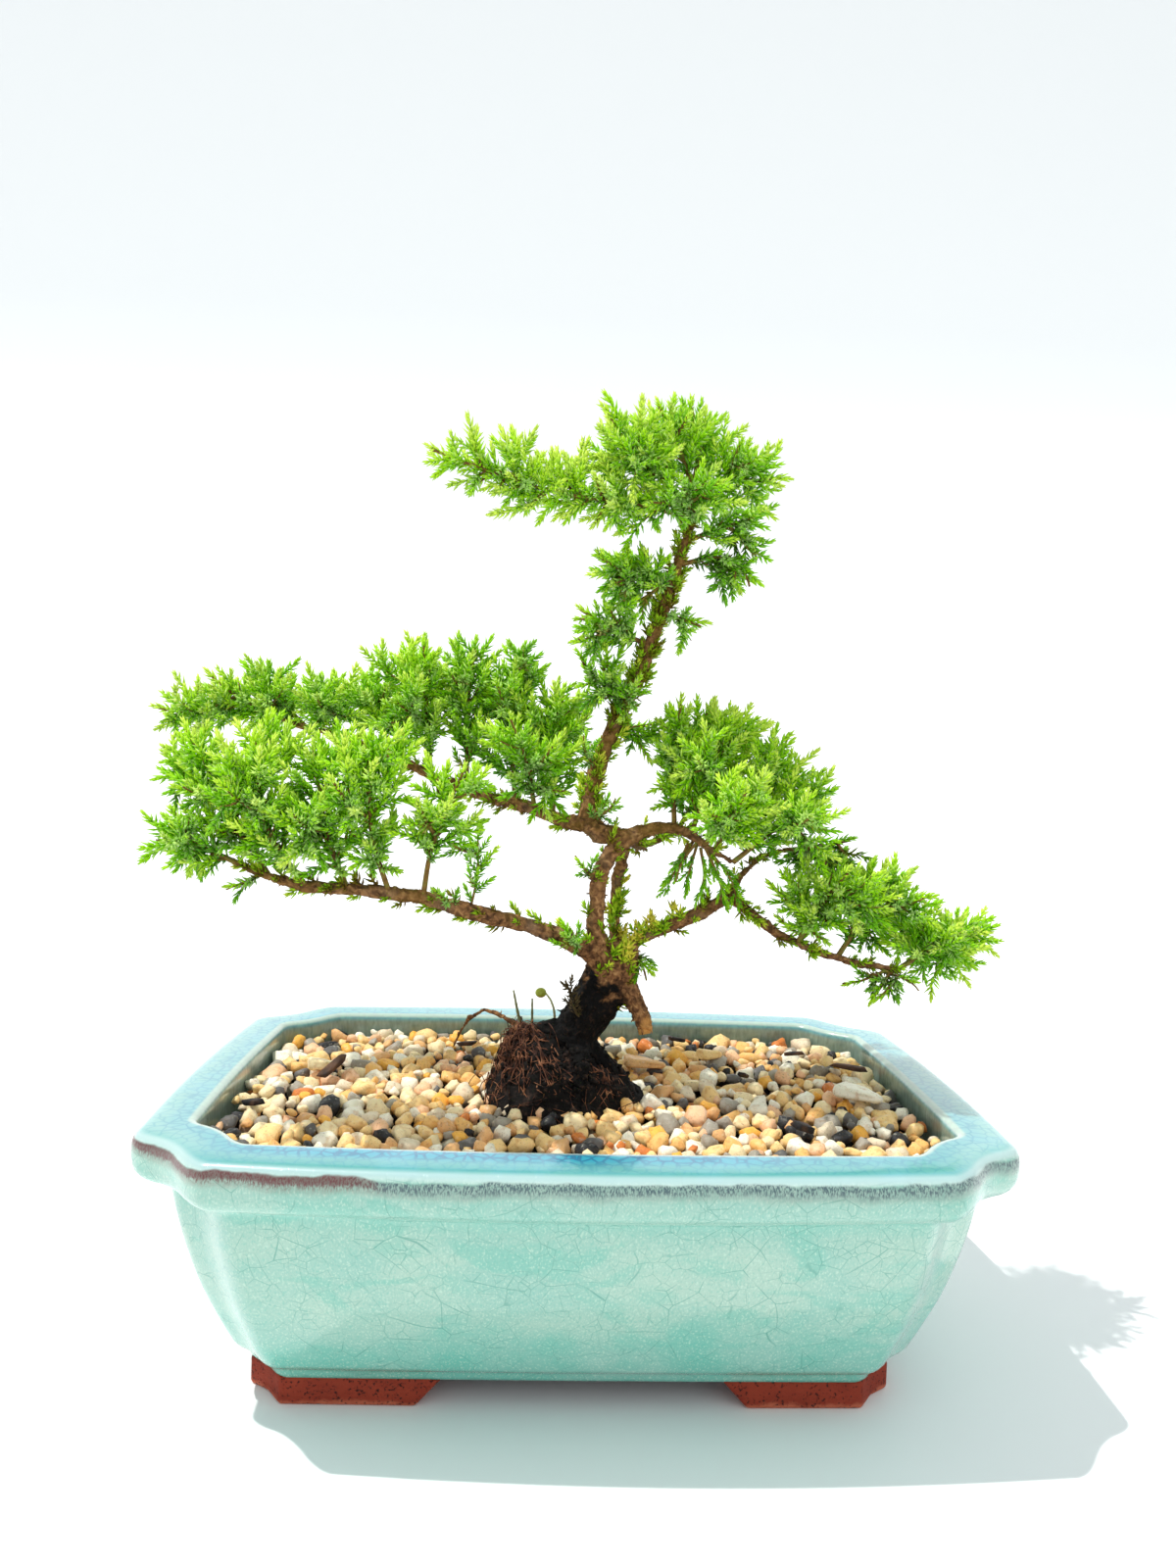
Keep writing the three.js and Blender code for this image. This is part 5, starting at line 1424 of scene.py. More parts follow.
# %% The routes of the leafy stems
LEAFY_STEMS = {
    "apex_tongue": (
        [(32, 4, 270), (12, -6, 271), (-14, -14, 272), (-38, -21, 277), (-56, -25, 282)],
        [
            (0.34, -3, -12, 260), (0.45, -15, -2, 289), (0.55, -24, -24, 264), (0.66, -28, -12, 293),
            (0.74, -43, -20, 270), (0.35, -2, -18, 280), (0.6, -30, -30, 276), (0.8, -44, -14, 285),
            (0.45, -14, -8, 265), (0.7, -34, -26, 266),
        ],
    ),
    "apex_left": (
        [(32, 4, 274), (18, -4, 283), (7, -10, 292), (0, -12, 303)],
        [(0.4, -6, 2, 290), (0.5, 9, -28, 281)],
    ),
    "apex_top": ([(33, 4, 279), (27, 1, 292), (17, -2, 309)], [(0.4, 9, 13, 303), (0.5, 30, -11, 303)]),
    "apex_back": ([(33, 5, 281), (35, 10, 296), (31, 14, 314)], [(0.4, 45, 32, 306), (0.5, 22, 26, 306)]),
    "apex_right": ([(32, 4, 275), (45, 10, 285), (58, 18, 299)], [(0.5, 67, 7, 286), (0.4, 48, -4, 297)]),
    "apex_front": (
        [(31, 4, 267), (30, -10, 271), (24, -25, 277)], [(0.5, 41, -18, 280), (0.6, 12, -24, 268)],
    ),
    "apex_low_right": ([(31, 5, 262), (45, 2, 267), (59, -6, 272)], [(0.5, 58, 14, 262)]),
    "apex_hanging": ([(29, 6, 254), (42, 6, 257), (51, 4, 252), (54, 3, 243)], [(0.6, 46, -5, 246)]),
    "column_right": ([(24, 8, 237), (32, 3, 235), (40, -2, 231)], []),
    "column_top": (
        [(27, 8, 246), (15, 3, 248), (-1, -5, 255)],
        [
            (0.5, 13, 25, 252), (0.5, 4, -10, 245), (0.6, 2, 12, 243), (0.3, 10, -4, 250), (0.3, 8, 4, 258),
            (0.1, 17, -5, 247), (0.2, 15, 0, 261), (0.2, 12, 12, 256),
        ],
    ),
    "column_middle": (
        [(20, 9, 227), (8, 4, 231), (-8, 0, 239)],
        [
            (0.5, -8, -10, 226), (0.4, 2, 14, 225), (0.7, -6, 12, 236), (0.5, 6, -10, 234),
            (0.6, -6, 4, 226), (0.2, 9, 0, 236), (0.3, 4, -6, 240), (0.2, 10, -4, 228),
        ],
    ),
    "column_low": (
        [(14, 10, 209), (6, 10, 213), (-4, 12, 220)],
        [
            (0.4, 3, -6, 207), (0.6, -6, 2, 212), (0.5, 2, 20, 216), (0.3, 6, -4, 218), (0.4, 0, 4, 205),
            (0.1, 10, -2, 200), (0.8, -5, 6, 226), (0.4, 4, 4, 224), (0.2, 8, 0, 211),
        ],
    ),
    "column_behind": ([(9, 9, 198), (18, 17, 199), (27, 22, 201)], [(0.4, 25, 15, 185)]),
    "column_foot": ([(4, 6, 184), (-1, -3, 190), (-2, -12, 198)], []),
    "upper_left_inner": (
        [(-11, 6, 167), (-10, 18, 188), (-8, 22, 215)],
        [
            (0.5, -14, 52, 202), (0.6, 3, 34, 206), (0.4, -18, 12, 192), (0.35, 0, 26, 190),
            (0.6, -20, 26, 208),
        ],
    ),
    "upper_left_front": (
        [(-17, 9, 169), (-20, -4, 185), (-27, -15, 203)], [(0.3, -3, -9, 177), (0.4, -10, -16, 194)],
    ),
    "upper_left_second": (
        [(-24, 12, 171), (-26, 26, 200), (-22, 32, 231)],
        [
            (0.5, -32, 8, 214), (0.6, -22, 52, 213), (0.4, -32, 34, 198), (0.7, -14, 22, 222),
            (0.5, -36, 22, 212),
        ],
    ),
    "upper_left_third": (
        [(-41, 18, 175), (-42, 24, 202), (-40, 28, 232)],
        [
            (0.5, -50, 46, 214), (0.6, -49, 10, 218), (0.4, -34, 18, 198), (0.7, -48, 34, 224),
            (0.3, -48, 30, 194),
        ],
    ),
    "upper_left_fourth": (
        [(-54, 23, 179), (-56, 20, 204), (-58, 20, 229)],
        [
            (0.4, -67, 2, 207), (0.5, -70, 26, 224), (0.3, -48, 20, 196), (0.6, -64, 34, 218),
            (0.7, -52, 10, 220),
        ],
    ),
    "upper_left_fifth": (
        [(-69, 27, 186), (-75, 36, 202), (-76, 40, 219)],
        [
            (0.5, -84, 24, 212), (0.5, -62, 58, 208), (0.4, -82, 36, 198), (0.3, -66, 28, 200),
            (0.6, -70, 26, 214),
        ],
    ),
    "upper_left_sixth": (
        [(-89, 30, 193), (-93, 40, 205), (-94, 46, 217)],
        [
            (0.4, -92, 6, 206), (0.5, -106, 50, 207), (0.3, -84, 30, 202), (0.7, -102, 34, 212),
            (0.6, -86, 44, 214),
        ],
    ),
    "upper_left_seventh": (
        [(-100, 31, 195), (-112, 32, 207), (-117, 33, 221)],
        [(0.4, -112, 8, 206), (0.5, -104, 40, 210), (0.3, -110, 24, 202), (0.7, -122, 38, 214)],
    ),
    "upper_left_tip": (
        [(-104, 32, 196), (-120, 26, 203), (-134, 20, 214)],
        [
            (0.5, -148, 6, 200), (0.4, -130, 38, 200), (0.3, -112, 20, 200), (0.7, -126, 32, 210),
            (0.6, -138, 16, 202),
        ],
    ),
    "lower_left_riser": (
        [(-36, -25, 139), (-34, -23, 152), (-35, -22, 173)], [(0.4, -26, -20, 163), (0.5, -45, -36, 164)],
    ),
    "lower_left_drop": ([(-40, -26, 140), (-45, -34, 145), (-48, -40, 148)], []),
    "lower_left_first": (
        [(-50, -30, 144), (-46, -42, 162), (-36, -46, 187)],
        [(0.5, -50, -58, 177), (0.7, -30, -32, 186), (0.6, -44, -34, 180), (0.5, -38, -34, 174)],
    ),
    "lower_left_second": (
        [(-60, -32, 145), (-64, -44, 165), (-65, -54, 195)],
        [(0.6, -54, -36, 199), (0.5, -74, -64, 183), (0.2, -56, -44, 154), (0.3, -70, -36, 162)],
    ),
    "lower_left_third": (
        [(-72, -35, 146), (-78, -40, 165), (-83, -40, 193)],
        [
            (0.4, -84, -64, 172), (0.6, -72, -26, 198), (0.15, -70, -48, 153), (0.25, -72, -28, 160),
            (0.3, -84, -40, 164),
        ],
    ),
    "lower_left_fourth": (
        [(-84, -37, 147), (-94, -46, 166), (-97, -50, 194)],
        [
            (0.5, -104, -62, 180), (0.6, -98, -24, 200), (0.15, -86, -50, 154), (0.25, -84, -30, 160),
            (0.35, -102, -40, 168),
        ],
    ),
    "lower_left_fifth": (
        [(-94, -38, 149), (-108, -32, 168), (-125, -28, 196)],
        [
            (0.6, -136, -16, 181), (0.5, -110, -12, 188), (0.2, -100, -46, 158), (0.3, -114, -44, 166),
            (0.5, -122, -44, 178),
        ],
    ),
    "lower_left_tip": (
        [(-103, -38, 153), (-116, -38, 159), (-128, -34, 167)],
        [(0.5, -122, -28, 148), (0.5, -120, -50, 172), (0.3, -112, -46, 152), (0.6, -126, -44, 158)],
    ),
    "lower_left_low": ([(-97, -38, 150), (-104, -42, 147), (-110, -42, 144)], []),
    "right_middle_left": (
        [(29, -8, 166), (29, 1, 188), (32, 6, 211)],
        [
            (0.6, 46, 14, 212), (0.5, 27, -16, 194), (0.4, 20, 4, 190), (0.3, 20, -6, 178),
            (0.7, 22, 8, 204), (0.2, 22, 2, 172),
        ],
    ),
    "right_middle_top": (
        [(34, -12, 164), (41, -6, 184), (50, 0, 207)], [(0.5, 32, -30, 190), (0.6, 58, 16, 209)],
    ),
    "right_middle_right": (
        [(41, -15, 159), (55, -5, 178), (71, 9, 199)], [(0.6, 60, -18, 193), (0.5, 76, 18, 186)],
    ),
    "right_middle_front": (
        [(38, -14, 161), (43, -32, 170), (46, -47, 182)], [(0.4, 56, -32, 186), (0.6, 32, -42, 174)],
    ),
    "right_middle_outer": (
        [(47, -18, 156), (64, -12, 169), (83, -2, 185)], [(0.5, 66, -42, 173), (0.4, 74, -20, 178)],
    ),
    "right_middle_back": ([(32, 10, 163), (46, 28, 182), (64, 40, 201)], [(0.5, 36, 42, 199)]),
    "right_hanging": ([(36, -13, 162), (30, -18, 154), (28, -20, 145)], [(0.4, 41, -22, 146)]),
    "right_lower_inner": (
        [(69, 8, 158), (84, 10, 160), (97, 9, 163)],
        [(0.3, 72, -16, 163), (0.5, 80, -10, 150), (0.7, 92, -8, 152), (0.6, 86, 20, 152)],
    ),
    "right_lower_front": (
        [(70, -13, 130), (76, -24, 146), (82, -34, 158)],
        [
            (0.5, 66, -32, 145), (0.6, 94, -40, 146), (0.3, 84, -30, 140), (0.7, 76, -38, 150),
            (0.2, 78, -26, 132), (0.2, 63, -22, 147), (0.3, 57, -20, 152), (0.1, 60, -18, 142),
            (0.5, 72, -25, 152),
        ],
    ),
    "right_lower_top": (
        [(83, -15, 126), (94, -11, 142), (104, -6, 157)],
        [
            (0.5, 90, 4, 153), (0.5, 112, -24, 149), (0.4, 100, 4, 141), (0.7, 98, -24, 152),
            (0.3, 88, -24, 136),
        ],
    ),
    "right_lower_tip": (
        [(101, -20, 123), (116, -10, 129), (131, 2, 131), (148, 10, 127)],
        [
            (0.4, 110, 22, 137), (0.5, 122, -22, 138), (0.6, 128, 18, 119), (0.3, 112, -8, 142),
            (0.6, 120, 0, 142), (0.7, 132, -8, 137), (0.8, 138, 16, 122), (0.5, 116, 10, 122),
            (0.2, 104, -28, 132),
        ],
    ),
    "right_lower_drop": (
        [(96, -19, 123), (104, -26, 120), (108, -28, 114)],
        [(0.3, 90, -24, 112), (0.1, 79, -20, 118), (0.2, 88, -26, 111)],
    ),
    "knot_tuft": ([(1, -1, 167), (7, -10, 171), (10, -18, 178)], []),
    "front_stem_tuft": ([(3, -12, 149), (-1, -16, 153), (-6, -18, 160)], []),
    "crotch_tuft_left": ([(0, -10, 126), (-5, -20, 130), (-10, -25, 137)], []),
    "crotch_tuft_front": ([(8, -9, 119), (9, -14, 120.5), (10, -20, 123)], []),
    "crotch_tuft_right": ([(16, -2, 123), (20, -8, 120), (22.5, -9, 111)], [(0.3, 24, -11, 120)]),
}
print("leafy stems:", len(LEAFY_STEMS))
print("side twigs:", sum(len(side_twigs) for _, side_twigs in LEAFY_STEMS.values()))

# %% [markdown]
# Two shoots can't grow into the same place. So every shoot first asks for room at its tip, and a shared
# list of cells answers quickly. One that finds none tries the other sides of its twig, and then it isn't
# grown at all, as happens to buds in a dense crown.

# %% Room for a shoot
CELL_SIZE = 3.8
FRESH_TIP = 0.3
taken = {}


def claim(tip, room):
    """Take a place for a shoot's tip, unless another tip is nearer than room."""
    cell = tuple(math.floor(part / CELL_SIZE) for part in tip)
    for x in (-1, 0, 1):
        for y in (-1, 0, 1):
            for z in (-1, 0, 1):
                for other in taken.get((cell[0] + x, cell[1] + y, cell[2] + z), ()):
                    if (tip - other).length < room:
                        return False
    taken.setdefault(cell, []).append(tip)
    return True


def add_shoot(model, draw, shape, place, direction, size, fresh):
    """Join a shoot into a model, with a freshness and a random tint for the finish."""
    turn = direction.to_track_quat("Z", "Y").to_matrix().to_4x4()
    roll = Matrix.Rotation(draw.uniform(0, math.tau), 4, "Z")
    copied = add_copy(model, shape, Matrix.Translation(place) @ turn @ roll @ Matrix.Scale(size, 4))
    age_layer = model.verts.layers.float["age"]
    fresh_layer = model.verts.layers.float["fresh"]
    tint_layer = model.verts.layers.float["tint"]
    tint = draw.random()
    for vert in copied:
        vert[fresh_layer] = fresh + FRESH_TIP * vert[age_layer]
        vert[tint_layer] = tint


print("a tip every", CELL_SIZE, "mm at most")

# %% [markdown]
# A trimmed crown keeps its outline. So every stem has a box round its own twigs, and every tier has one
# round all its stems, and a shoot whose tip would leave either isn't grown. A stem's box is larger than
# its twigs, so that neighbours close up. A tier's box keeps inside its outermost twigs, because needles
# still stand out beyond a shoot's tip.

# %% The space of a stem and of a tier
TIERS = ("apex", "column", "upper_left", "lower_left", "right_middle", "right_lower")
STEM_BELOW, STEM_ABOVE = Vector((8, 8, 9)), Vector((8, 8, 1))
TIER_BELOW, TIER_ABOVE = Vector((-2.5, -1, 4)), Vector((-2.5, -1, -2))


def box_round(points, below, above):
    low = Vector([min(point[axis] for point in points) for axis in range(3)]) - below
    high = Vector([max(point[axis] for point in points) for axis in range(3)]) + above
    return low, high


def stem_points(route, side_twigs):
    return [Vector(point) for point in route] + [Vector(tip) for _, *tip in side_twigs]


def tier_box(tier):
    stems = [stem for name, stem in LEAFY_STEMS.items() if name.startswith(tier)]
    return box_round([point for stem in stems for point in stem_points(*stem)], TIER_BELOW, TIER_ABOVE)


tier_boxes = {tier: tier_box(tier) for tier in TIERS}


def stem_space(name, route, side_twigs):
    """The boxes that a stem's shoots keep to: its own, and its tier's if it grows in one."""
    own = box_round(stem_points(route, side_twigs), STEM_BELOW, STEM_ABOVE)
    return [own] + [box for tier, box in tier_boxes.items() if name.startswith(tier)]


def fits(tip, space):
    return all(low[axis] <= tip[axis] <= high[axis] for low, high in space for axis in range(3))


print("boxes of the tiers:", len(tier_boxes))

# %% [markdown]
# A twig's line is a curve through a few points, cut into even steps, so that a mark along it is found by
# counting. A side twig leaves its stem at a share of the stem's length and sags a little on its way.

# %% The lines of twigs
TWIG_STEP = 1.5
CURVE_STEPS = 6
SAG = 0.08


def even_line(line):
    lengths = [(there - here).length for here, there in zip(line, line[1:])]
    count = max(round(sum(lengths) / TWIG_STEP), 2)
    even, walked, span = [line[0]], 0.0, 0
    for number in range(1, count):
        mark = sum(lengths) * number / count
        while walked + lengths[span] < mark:
            walked += lengths[span]
            span += 1
        even.append(line[span].lerp(line[span + 1], (mark - walked) / lengths[span]))
    return [*even, line[-1]]


def twig_line(points):
    return even_line(smooth_line(points, CURVE_STEPS))


def side_line(main, share, tip):
    start = main[round(share * (len(main) - 1))]
    bend = start.lerp(tip, 0.5) - UP * SAG * (tip - start).length
    return twig_line([start, bend, tip])


def twig_lines(route, side_twigs):
    """The line of a stem, and those of its side twigs."""
    main = twig_line(route)
    return main, [side_line(main, share, Vector(tip)) for share, *tip in side_twigs]


print("steps along the apex's tongue:", len(twig_line(LEAFY_STEMS["apex_tongue"][0])))

# %% [markdown]
# Shoots leave a twig at the golden angle, which keeps them from shading each other. They lean forwards
# and up towards the light. One last shoot starts a little back from the twig's tip and hides it.

# %% Shoots along a twig
GOLDEN_ANGLE = math.radians(137.5)
SHOOT_REACH = 9.0
SHOOT_GAP = 1.7
LAST_SHOOT_BACK = 11.5
FORWARD = 0.8
UPWARD = 0.32
TRIES = 3
FRESHER_OUTWARDS = 0.3
# Painted light: a shoot that points up gets a higher freshness, so a lighter green, as if lit from above.
PAINTED_LIGHT_ABOVE = 0.12
FRESH_LAST_SHOOT = 0.42


def leaning(here, around, outward):
    out = (here @ Matrix.Rotation(around, 4, "Z")).col[0].xyz
    return (here.col[2].xyz * FORWARD + out * outward + UP * UPWARD).normalized()


def shoots_along(model, draw, line, space, bare, vigour, back=LAST_SHOOT_BACK, grown=1.0):
    """Shoots along a twig beyond its bare share, and the last one, which starts back from its tip."""
    frames = frames_along(line)
    last = len(frames) - 1
    length = TWIG_STEP * last
    around = draw.uniform(0, math.tau)
    mark = bare * length
    while mark < length - back:
        share = mark / length
        here = frames[min(round(mark / TWIG_STEP), last)]
        size = grown * (1.05 - 0.2 * share) * draw.uniform(0.8, 1.1)
        for _ in range(TRIES):
            around += GOLDEN_ANGLE
            direction = leaning(here, around, draw.uniform(0.75, 1.1))
            tip = here.translation + direction * size * SHOOT_REACH
            if fits(tip, space) and claim(tip, CELL_SIZE):
                # The upward term is painted light from above.
                fresh = vigour + FRESHER_OUTWARDS * share + PAINTED_LIGHT_ABOVE * direction.z
                add_shoot(model, draw, draw.choice(long_shoots), here.translation, direction, size, fresh)
                break
        mark += SHOOT_GAP * draw.uniform(0.8, 1.2)
    here = frames[max(last - round(back / TWIG_STEP), 0)]
    direction = (here.col[2].xyz + UP * 0.1).normalized()
    size = grown * draw.uniform(0.85, 1.05)
    if back == LAST_SHOOT_BACK or fits(here.translation + direction * size * SHOOT_REACH, space):
        fresh = vigour + FRESH_LAST_SHOOT
        add_shoot(model, draw, draw.choice(long_shoots), here.translation, direction, size, fresh)


print("a shoot is tried every", SHOOT_GAP, "mm")

# %% [markdown]
# Between its shoots a twig carries twiglets, which have shoots of their own. A whole stem is then its main
# twig, its side twigs and the twiglets of both. The twigs are tubes, and end where the last shoot hides
# them. Each kind has a radius at its foot, one at its tip and a number of sides.

# %% Twiglets and a whole leafy stem
TWIGLET_BACK = 6.0
TWIGLET_GAP = 2.7
TWIGLET_REACH = (8, 18)
TWIGLET_BARE_FOOT = 0.25
HIDDEN_STEPS = 3
MAIN_TWIG = (0.95, 0.4, 5)
SIDE_TWIG = (0.7, 0.35, 4)
TWIGLET = (0.45, 0.25, 3)
STEM_FRESHNESS = 0.2
TWIGLET_FRESHNESS = 0.3


def twiglets_along(draw, line, bare):
    """The lines of the twiglets along a twig."""
    frames = frames_along(line)
    length = TWIG_STEP * (len(frames) - 1)
    around = draw.uniform(0, math.tau)
    mark = bare * length + TWIGLET_GAP * draw.uniform(0.2, 0.8)
    lines = []
    while mark < length - LAST_SHOOT_BACK:
        here = frames[round(mark / TWIG_STEP)]
        around += GOLDEN_ANGLE
        reach = draw.uniform(*TWIGLET_REACH) * (1.1 - 0.4 * mark / length)
        end = here.translation + leaning(here, around, 0.95) * reach
        middle = here.translation.lerp(end, 0.5) - UP * SAG * reach
        lines.append(even_line(smooth_line([here.translation, middle, end], 3)))
        mark += TWIGLET_GAP * draw.uniform(0.8, 1.25)
    return lines


def leafy_model():
    model = bmesh.new()
    for name in ("fresh", "tint", "age"):
        model.verts.layers.float.new(name)
    return model


def add_twigs(model, lines, start, end, sides):
    for line in lines:
        shorter = line[:-HIDDEN_STEPS]
        add_tube(model, shorter, tapered(shorter, start, end), sides)


def give_bark(model):
    """Give all faces so far the second finish of the piece, which is bark."""
    for face in model.faces:
        face.material_index = 1


def leafy_stem(draw, route, side_twigs, space, youth, bare):
    model = leafy_model()
    main, sides = twig_lines(route, side_twigs)
    twiglets = [twiglet for line in (main, *sides) for twiglet in twiglets_along(draw, line, bare)]
    twiglets = [twiglet for twiglet in twiglets if fits(twiglet[-1], space)]
    add_twigs(model, [main], *MAIN_TWIG)
    add_twigs(model, sides, *SIDE_TWIG)
    add_twigs(model, twiglets, *TWIGLET)
    give_bark(model)
    for line in (main, *sides):
        shoots_along(model, draw, line, space, bare, STEM_FRESHNESS + youth)
    for line in twiglets:
        vigour = TWIGLET_FRESHNESS + youth
        shoots_along(model, draw, line, space, TWIGLET_BARE_FOOT, vigour, TWIGLET_BACK)
    return model


print("a twiglet every", TWIGLET_GAP, "mm")

# %% [markdown]
# Juniper needles are fresh green below and carry a paler band of wax above, which makes the crown look
# lightly frosted from a step away. Young growth is yellow-green, old needles deep green, and a few inside
# the crown have dried to straw. The attributes of each needle choose between them. Shoots that point up
# are made fresher and so lighter, which is painted light from above.

# %% The needles' finish
leaf = Finish("juniper needles", roughness=0.5, specular=0.2)
fresh = leaf.attribute("fresh")
tint = leaf.attribute("tint")
freshness = leaf.ragged(fresh, leaf.grain(18), 0.12, 0.25, 0.75)
green = leaf.ramp(freshness, [
    (0.0, 90, 76, 4), (0.1, 72, 94, 0), (0.25, 72, 134, 0), (0.42, 114, 190, 0),
    (0.6, 152, 222, 0), (0.8, 186, 238, 32), (1.0, 218, 248, 86),
])
cooler = leaf.mix(leaf.fade(tint, 0.55, 1.0, 0, 0.3), green, paint(90, 166, 44))
tip_share = leaf.attribute("needle_share")
tipped = leaf.mix(leaf.fade(tip_share, 0.82, 1.0, 0, 0.5), cooler, paint(200, 222, 96))
band = leaf.both(leaf.attribute("pale"), leaf.fade(tip_share, 0.95, 0.6, 0, 0.5))
waxy = leaf.mix(band, tipped, paint(214, 238, 160))
straw = leaf.both(leaf.fade(tint, 0.07, 0.02), leaf.fade(fresh, 0.5, 0.2))
leaf.colour(leaf.mix(straw, waxy, paint(186, 150, 66)))
leaf.bumps(leaf.grain(0.5), 0.06)

twig = Finish("young twig bark", roughness=0.8, specular=0.2)
twig.colour(twig.ramp(twig.grain(3, detail=4), [
    (0.3, 92, 62, 34), (0.5, 136, 104, 52), (0.7, 128, 132, 56),
]))
twig.bumps(twig.grain(0.8, detail=3), 0.25)
print("needles and twigs have their finishes")

# %% [markdown]
# Sprouts on the old wood get little light. They are olive and brown where they are old, and yellow where
# they are young, with dry yellow tips, so they have a finish of their own.

# %% The old sprouts' finish
old_leaf = Finish("needles of old sprouts", roughness=0.6, specular=0.2)
sprout_age = old_leaf.ragged(old_leaf.attribute("fresh"), old_leaf.grain(9), 0.1)
sprout_colour = old_leaf.ramp(sprout_age, [
    (0.0, 110, 78, 26), (0.15, 126, 110, 18), (0.3, 136, 156, 16),
    (0.5, 146, 200, 20), (0.7, 186, 222, 44), (0.95, 236, 226, 80),
])
yellow_tip = old_leaf.fade(old_leaf.attribute("needle_share"), 0.6, 1.0, 0, 0.35)
old_leaf.colour(old_leaf.mix(yellow_tip, sprout_colour, paint(214, 192, 70)))
old_leaf.bumps(old_leaf.grain(0.5), 0.06)
print("a finish for the sprouts on old wood")

# %% [markdown]
# Two kinds of stem grow otherwise: on the old wood there are tufts and single twigs without twiglets, and
# under the right tier thin fronds hang down, closed and scaly like a cypress. Some stems are younger than
# the rest, and so fresher, like the apex's tongue, and some inner ones are older.

# %% The leafy stems
TUFTS = {
    "knot_tuft", "front_stem_tuft", "crotch_tuft_left", "crotch_tuft_front", "crotch_tuft_right",
    "column_foot", "lower_left_drop", "lower_left_low", "right_lower_drop", "lower_left_riser",
}
YELLOW_TUFTS = {"crotch_tuft_front"}
USUAL_BARE_FOOT = 0.13
BARE_FOOT = {"lower_left_first": 0.3, "lower_left_second": 0.2}
YOUTH = {
    "apex_tongue": 0.16, "apex_left": 0.06, "upper_left_tip": 0.12, "right_lower_tip": 0.06,
    "right_middle_front": 0.1, "right_middle_top": 0.06, "upper_left_second": -0.1,
    "upper_left_third": -0.06, "right_lower_inner": -0.12, "right_lower_top": -0.06,
    "apex_low_right": -0.06, "apex_hanging": -0.1, "column_low": -0.06,
}
FRONDS = [
    [(33, -13, 161), (29, -16, 153), (25, -15, 144)], [(36, -13, 161), (33, -17, 152), (31, -15, 146)],
    [(37, -14, 160), (38, -17, 151), (36, -15, 143)], [(38, -14, 161), (43, -17, 150), (45, -15, 140)],
    [(40, -14, 159), (47, -16, 150), (50, -14, 140)], [(35, -11, 162), (30, -9, 152), (28, -8, 147)],
]
FROND_STEP = 1
FROND_SIZE = 0.55
FROND_FRESHNESS = 0.36
FROND_TWIG = (0.7, 0.3, 4)
TUFT_SIZE = 0.75
TUFT_BARE_FOOT = 0.1
TUFT_FRESHNESS = 0.15
TUFT_TWIG = (0.6, 0.3, 4)


def tuft(draw, route, side_twigs, space):
    model = leafy_model()
    main, sides = twig_lines(route, side_twigs)
    add_twigs(model, [main, *sides], *TUFT_TWIG)
    give_bark(model)
    for line in (main, *sides):
        shoots_along(model, draw, line, space, TUFT_BARE_FOOT, TUFT_FRESHNESS, grown=TUFT_SIZE)
    return model


def off_the_twig(draw, here, outward):
    """A direction along the twig that leans out to a random side."""
    out = (here @ Matrix.Rotation(draw.uniform(0, math.tau), 4, "Z")).col[0].xyz
    return (here.col[2].xyz + out * outward).normalized()


def hanging_fronds(draw, route):
    model = leafy_model()
    lines = [twig_line(frond) for frond in FRONDS]
    add_twigs(model, [twig_line(route), *lines], *FROND_TWIG)
    give_bark(model)
    for line in lines:
        for here in frames_along(line)[2:-2:FROND_STEP]:
            heading = off_the_twig(draw, here, 0.5)
            shape = draw.choice(closed_shoots)
            add_shoot(model, draw, shape, here.translation, heading, FROND_SIZE, FROND_FRESHNESS)
    return model


draw = random.Random(FOLIAGE_SEED)
for name, (route, side_twigs) in LEAFY_STEMS.items():
    space = stem_space(name, route, side_twigs)
    bare = BARE_FOOT.get(name, USUAL_BARE_FOOT)
    if name == "right_hanging":
        stem = hanging_fronds(draw, route)
    elif name in TUFTS:
        stem = tuft(draw, route, side_twigs, space)
    else:
        stem = leafy_stem(draw, route, side_twigs, space, YOUTH.get(name, 0), bare)
    needles = old_leaf if name in YELLOW_TUFTS else leaf
    make_piece(f"foliage_{name}", stem, [needles, twig], [f"leafy_stem_{name}"])

# %% [markdown]
# Old juniper wood sprouts everywhere. Small shoots stand along the limbs, one at a time, where a random
# point of a limb's route, sent outwards, meets the bark. They are older and browner than the crown.

# %% Sprouts on the limbs
SPROUT_SEED = 21
SPROUT_REACH = 5
SPROUT_ROOM = CELL_SIZE * 0.4
SPROUT_DEPTH = 0.5
SPROUTS = {
    "leader": (0.2, 1.0, 300), "front_stem": (0.05, 0.95, 30), "upper_left": (0.1, 1.0, 60),
    "lower_left": (0.12, 1.0, 60), "right_branch": (0.2, 1.0, 44), "right_riser": (0.0, 1.0, 16),
    "fork": (0.1, 1.0, 16), "trunk": (0.6, 0.95, 8),
}


def point_on_limb(draw, limb, first, last):
    line = smooth_line(LIMBS[limb], ROUTE_STEPS)
    index = min(int(draw.uniform(first, last) * (len(line) - 1)), len(line) - 2)
    here = line[index]
    direction = (line[index + 1] - here).xyz.normalized()
    out, hit, _ = way_out(draw, here.xyz, direction, here.w)
    return (hit or here.xyz), out, direction


def add_sprout(place, out, heading, size, freshness):
    """A sprout whose foot is in the bark, if there is room at its tip."""
    if claim(place + heading * size * SPROUT_REACH, SPROUT_ROOM):
        shape = draw.choice(sprout_shoots)
        add_shoot(sprouts, draw, shape, place - out * SPROUT_DEPTH, heading, size, draw.uniform(*freshness))


draw = random.Random(SPROUT_SEED)
sprouts = leafy_model()
for limb, (first, last, count) in SPROUTS.items():
    for _ in range(count):
        place, out, direction = point_on_limb(draw, limb, first, last)
        heading = (direction * draw.uniform(0.5, 1.6) + out * 0.9 + UP * 0.25).normalized()
        add_sprout(place, out, heading, draw.uniform(0.5, 1.0), (0.0, 0.6))
print("faces of the sprouts:", len(sprouts.faces))

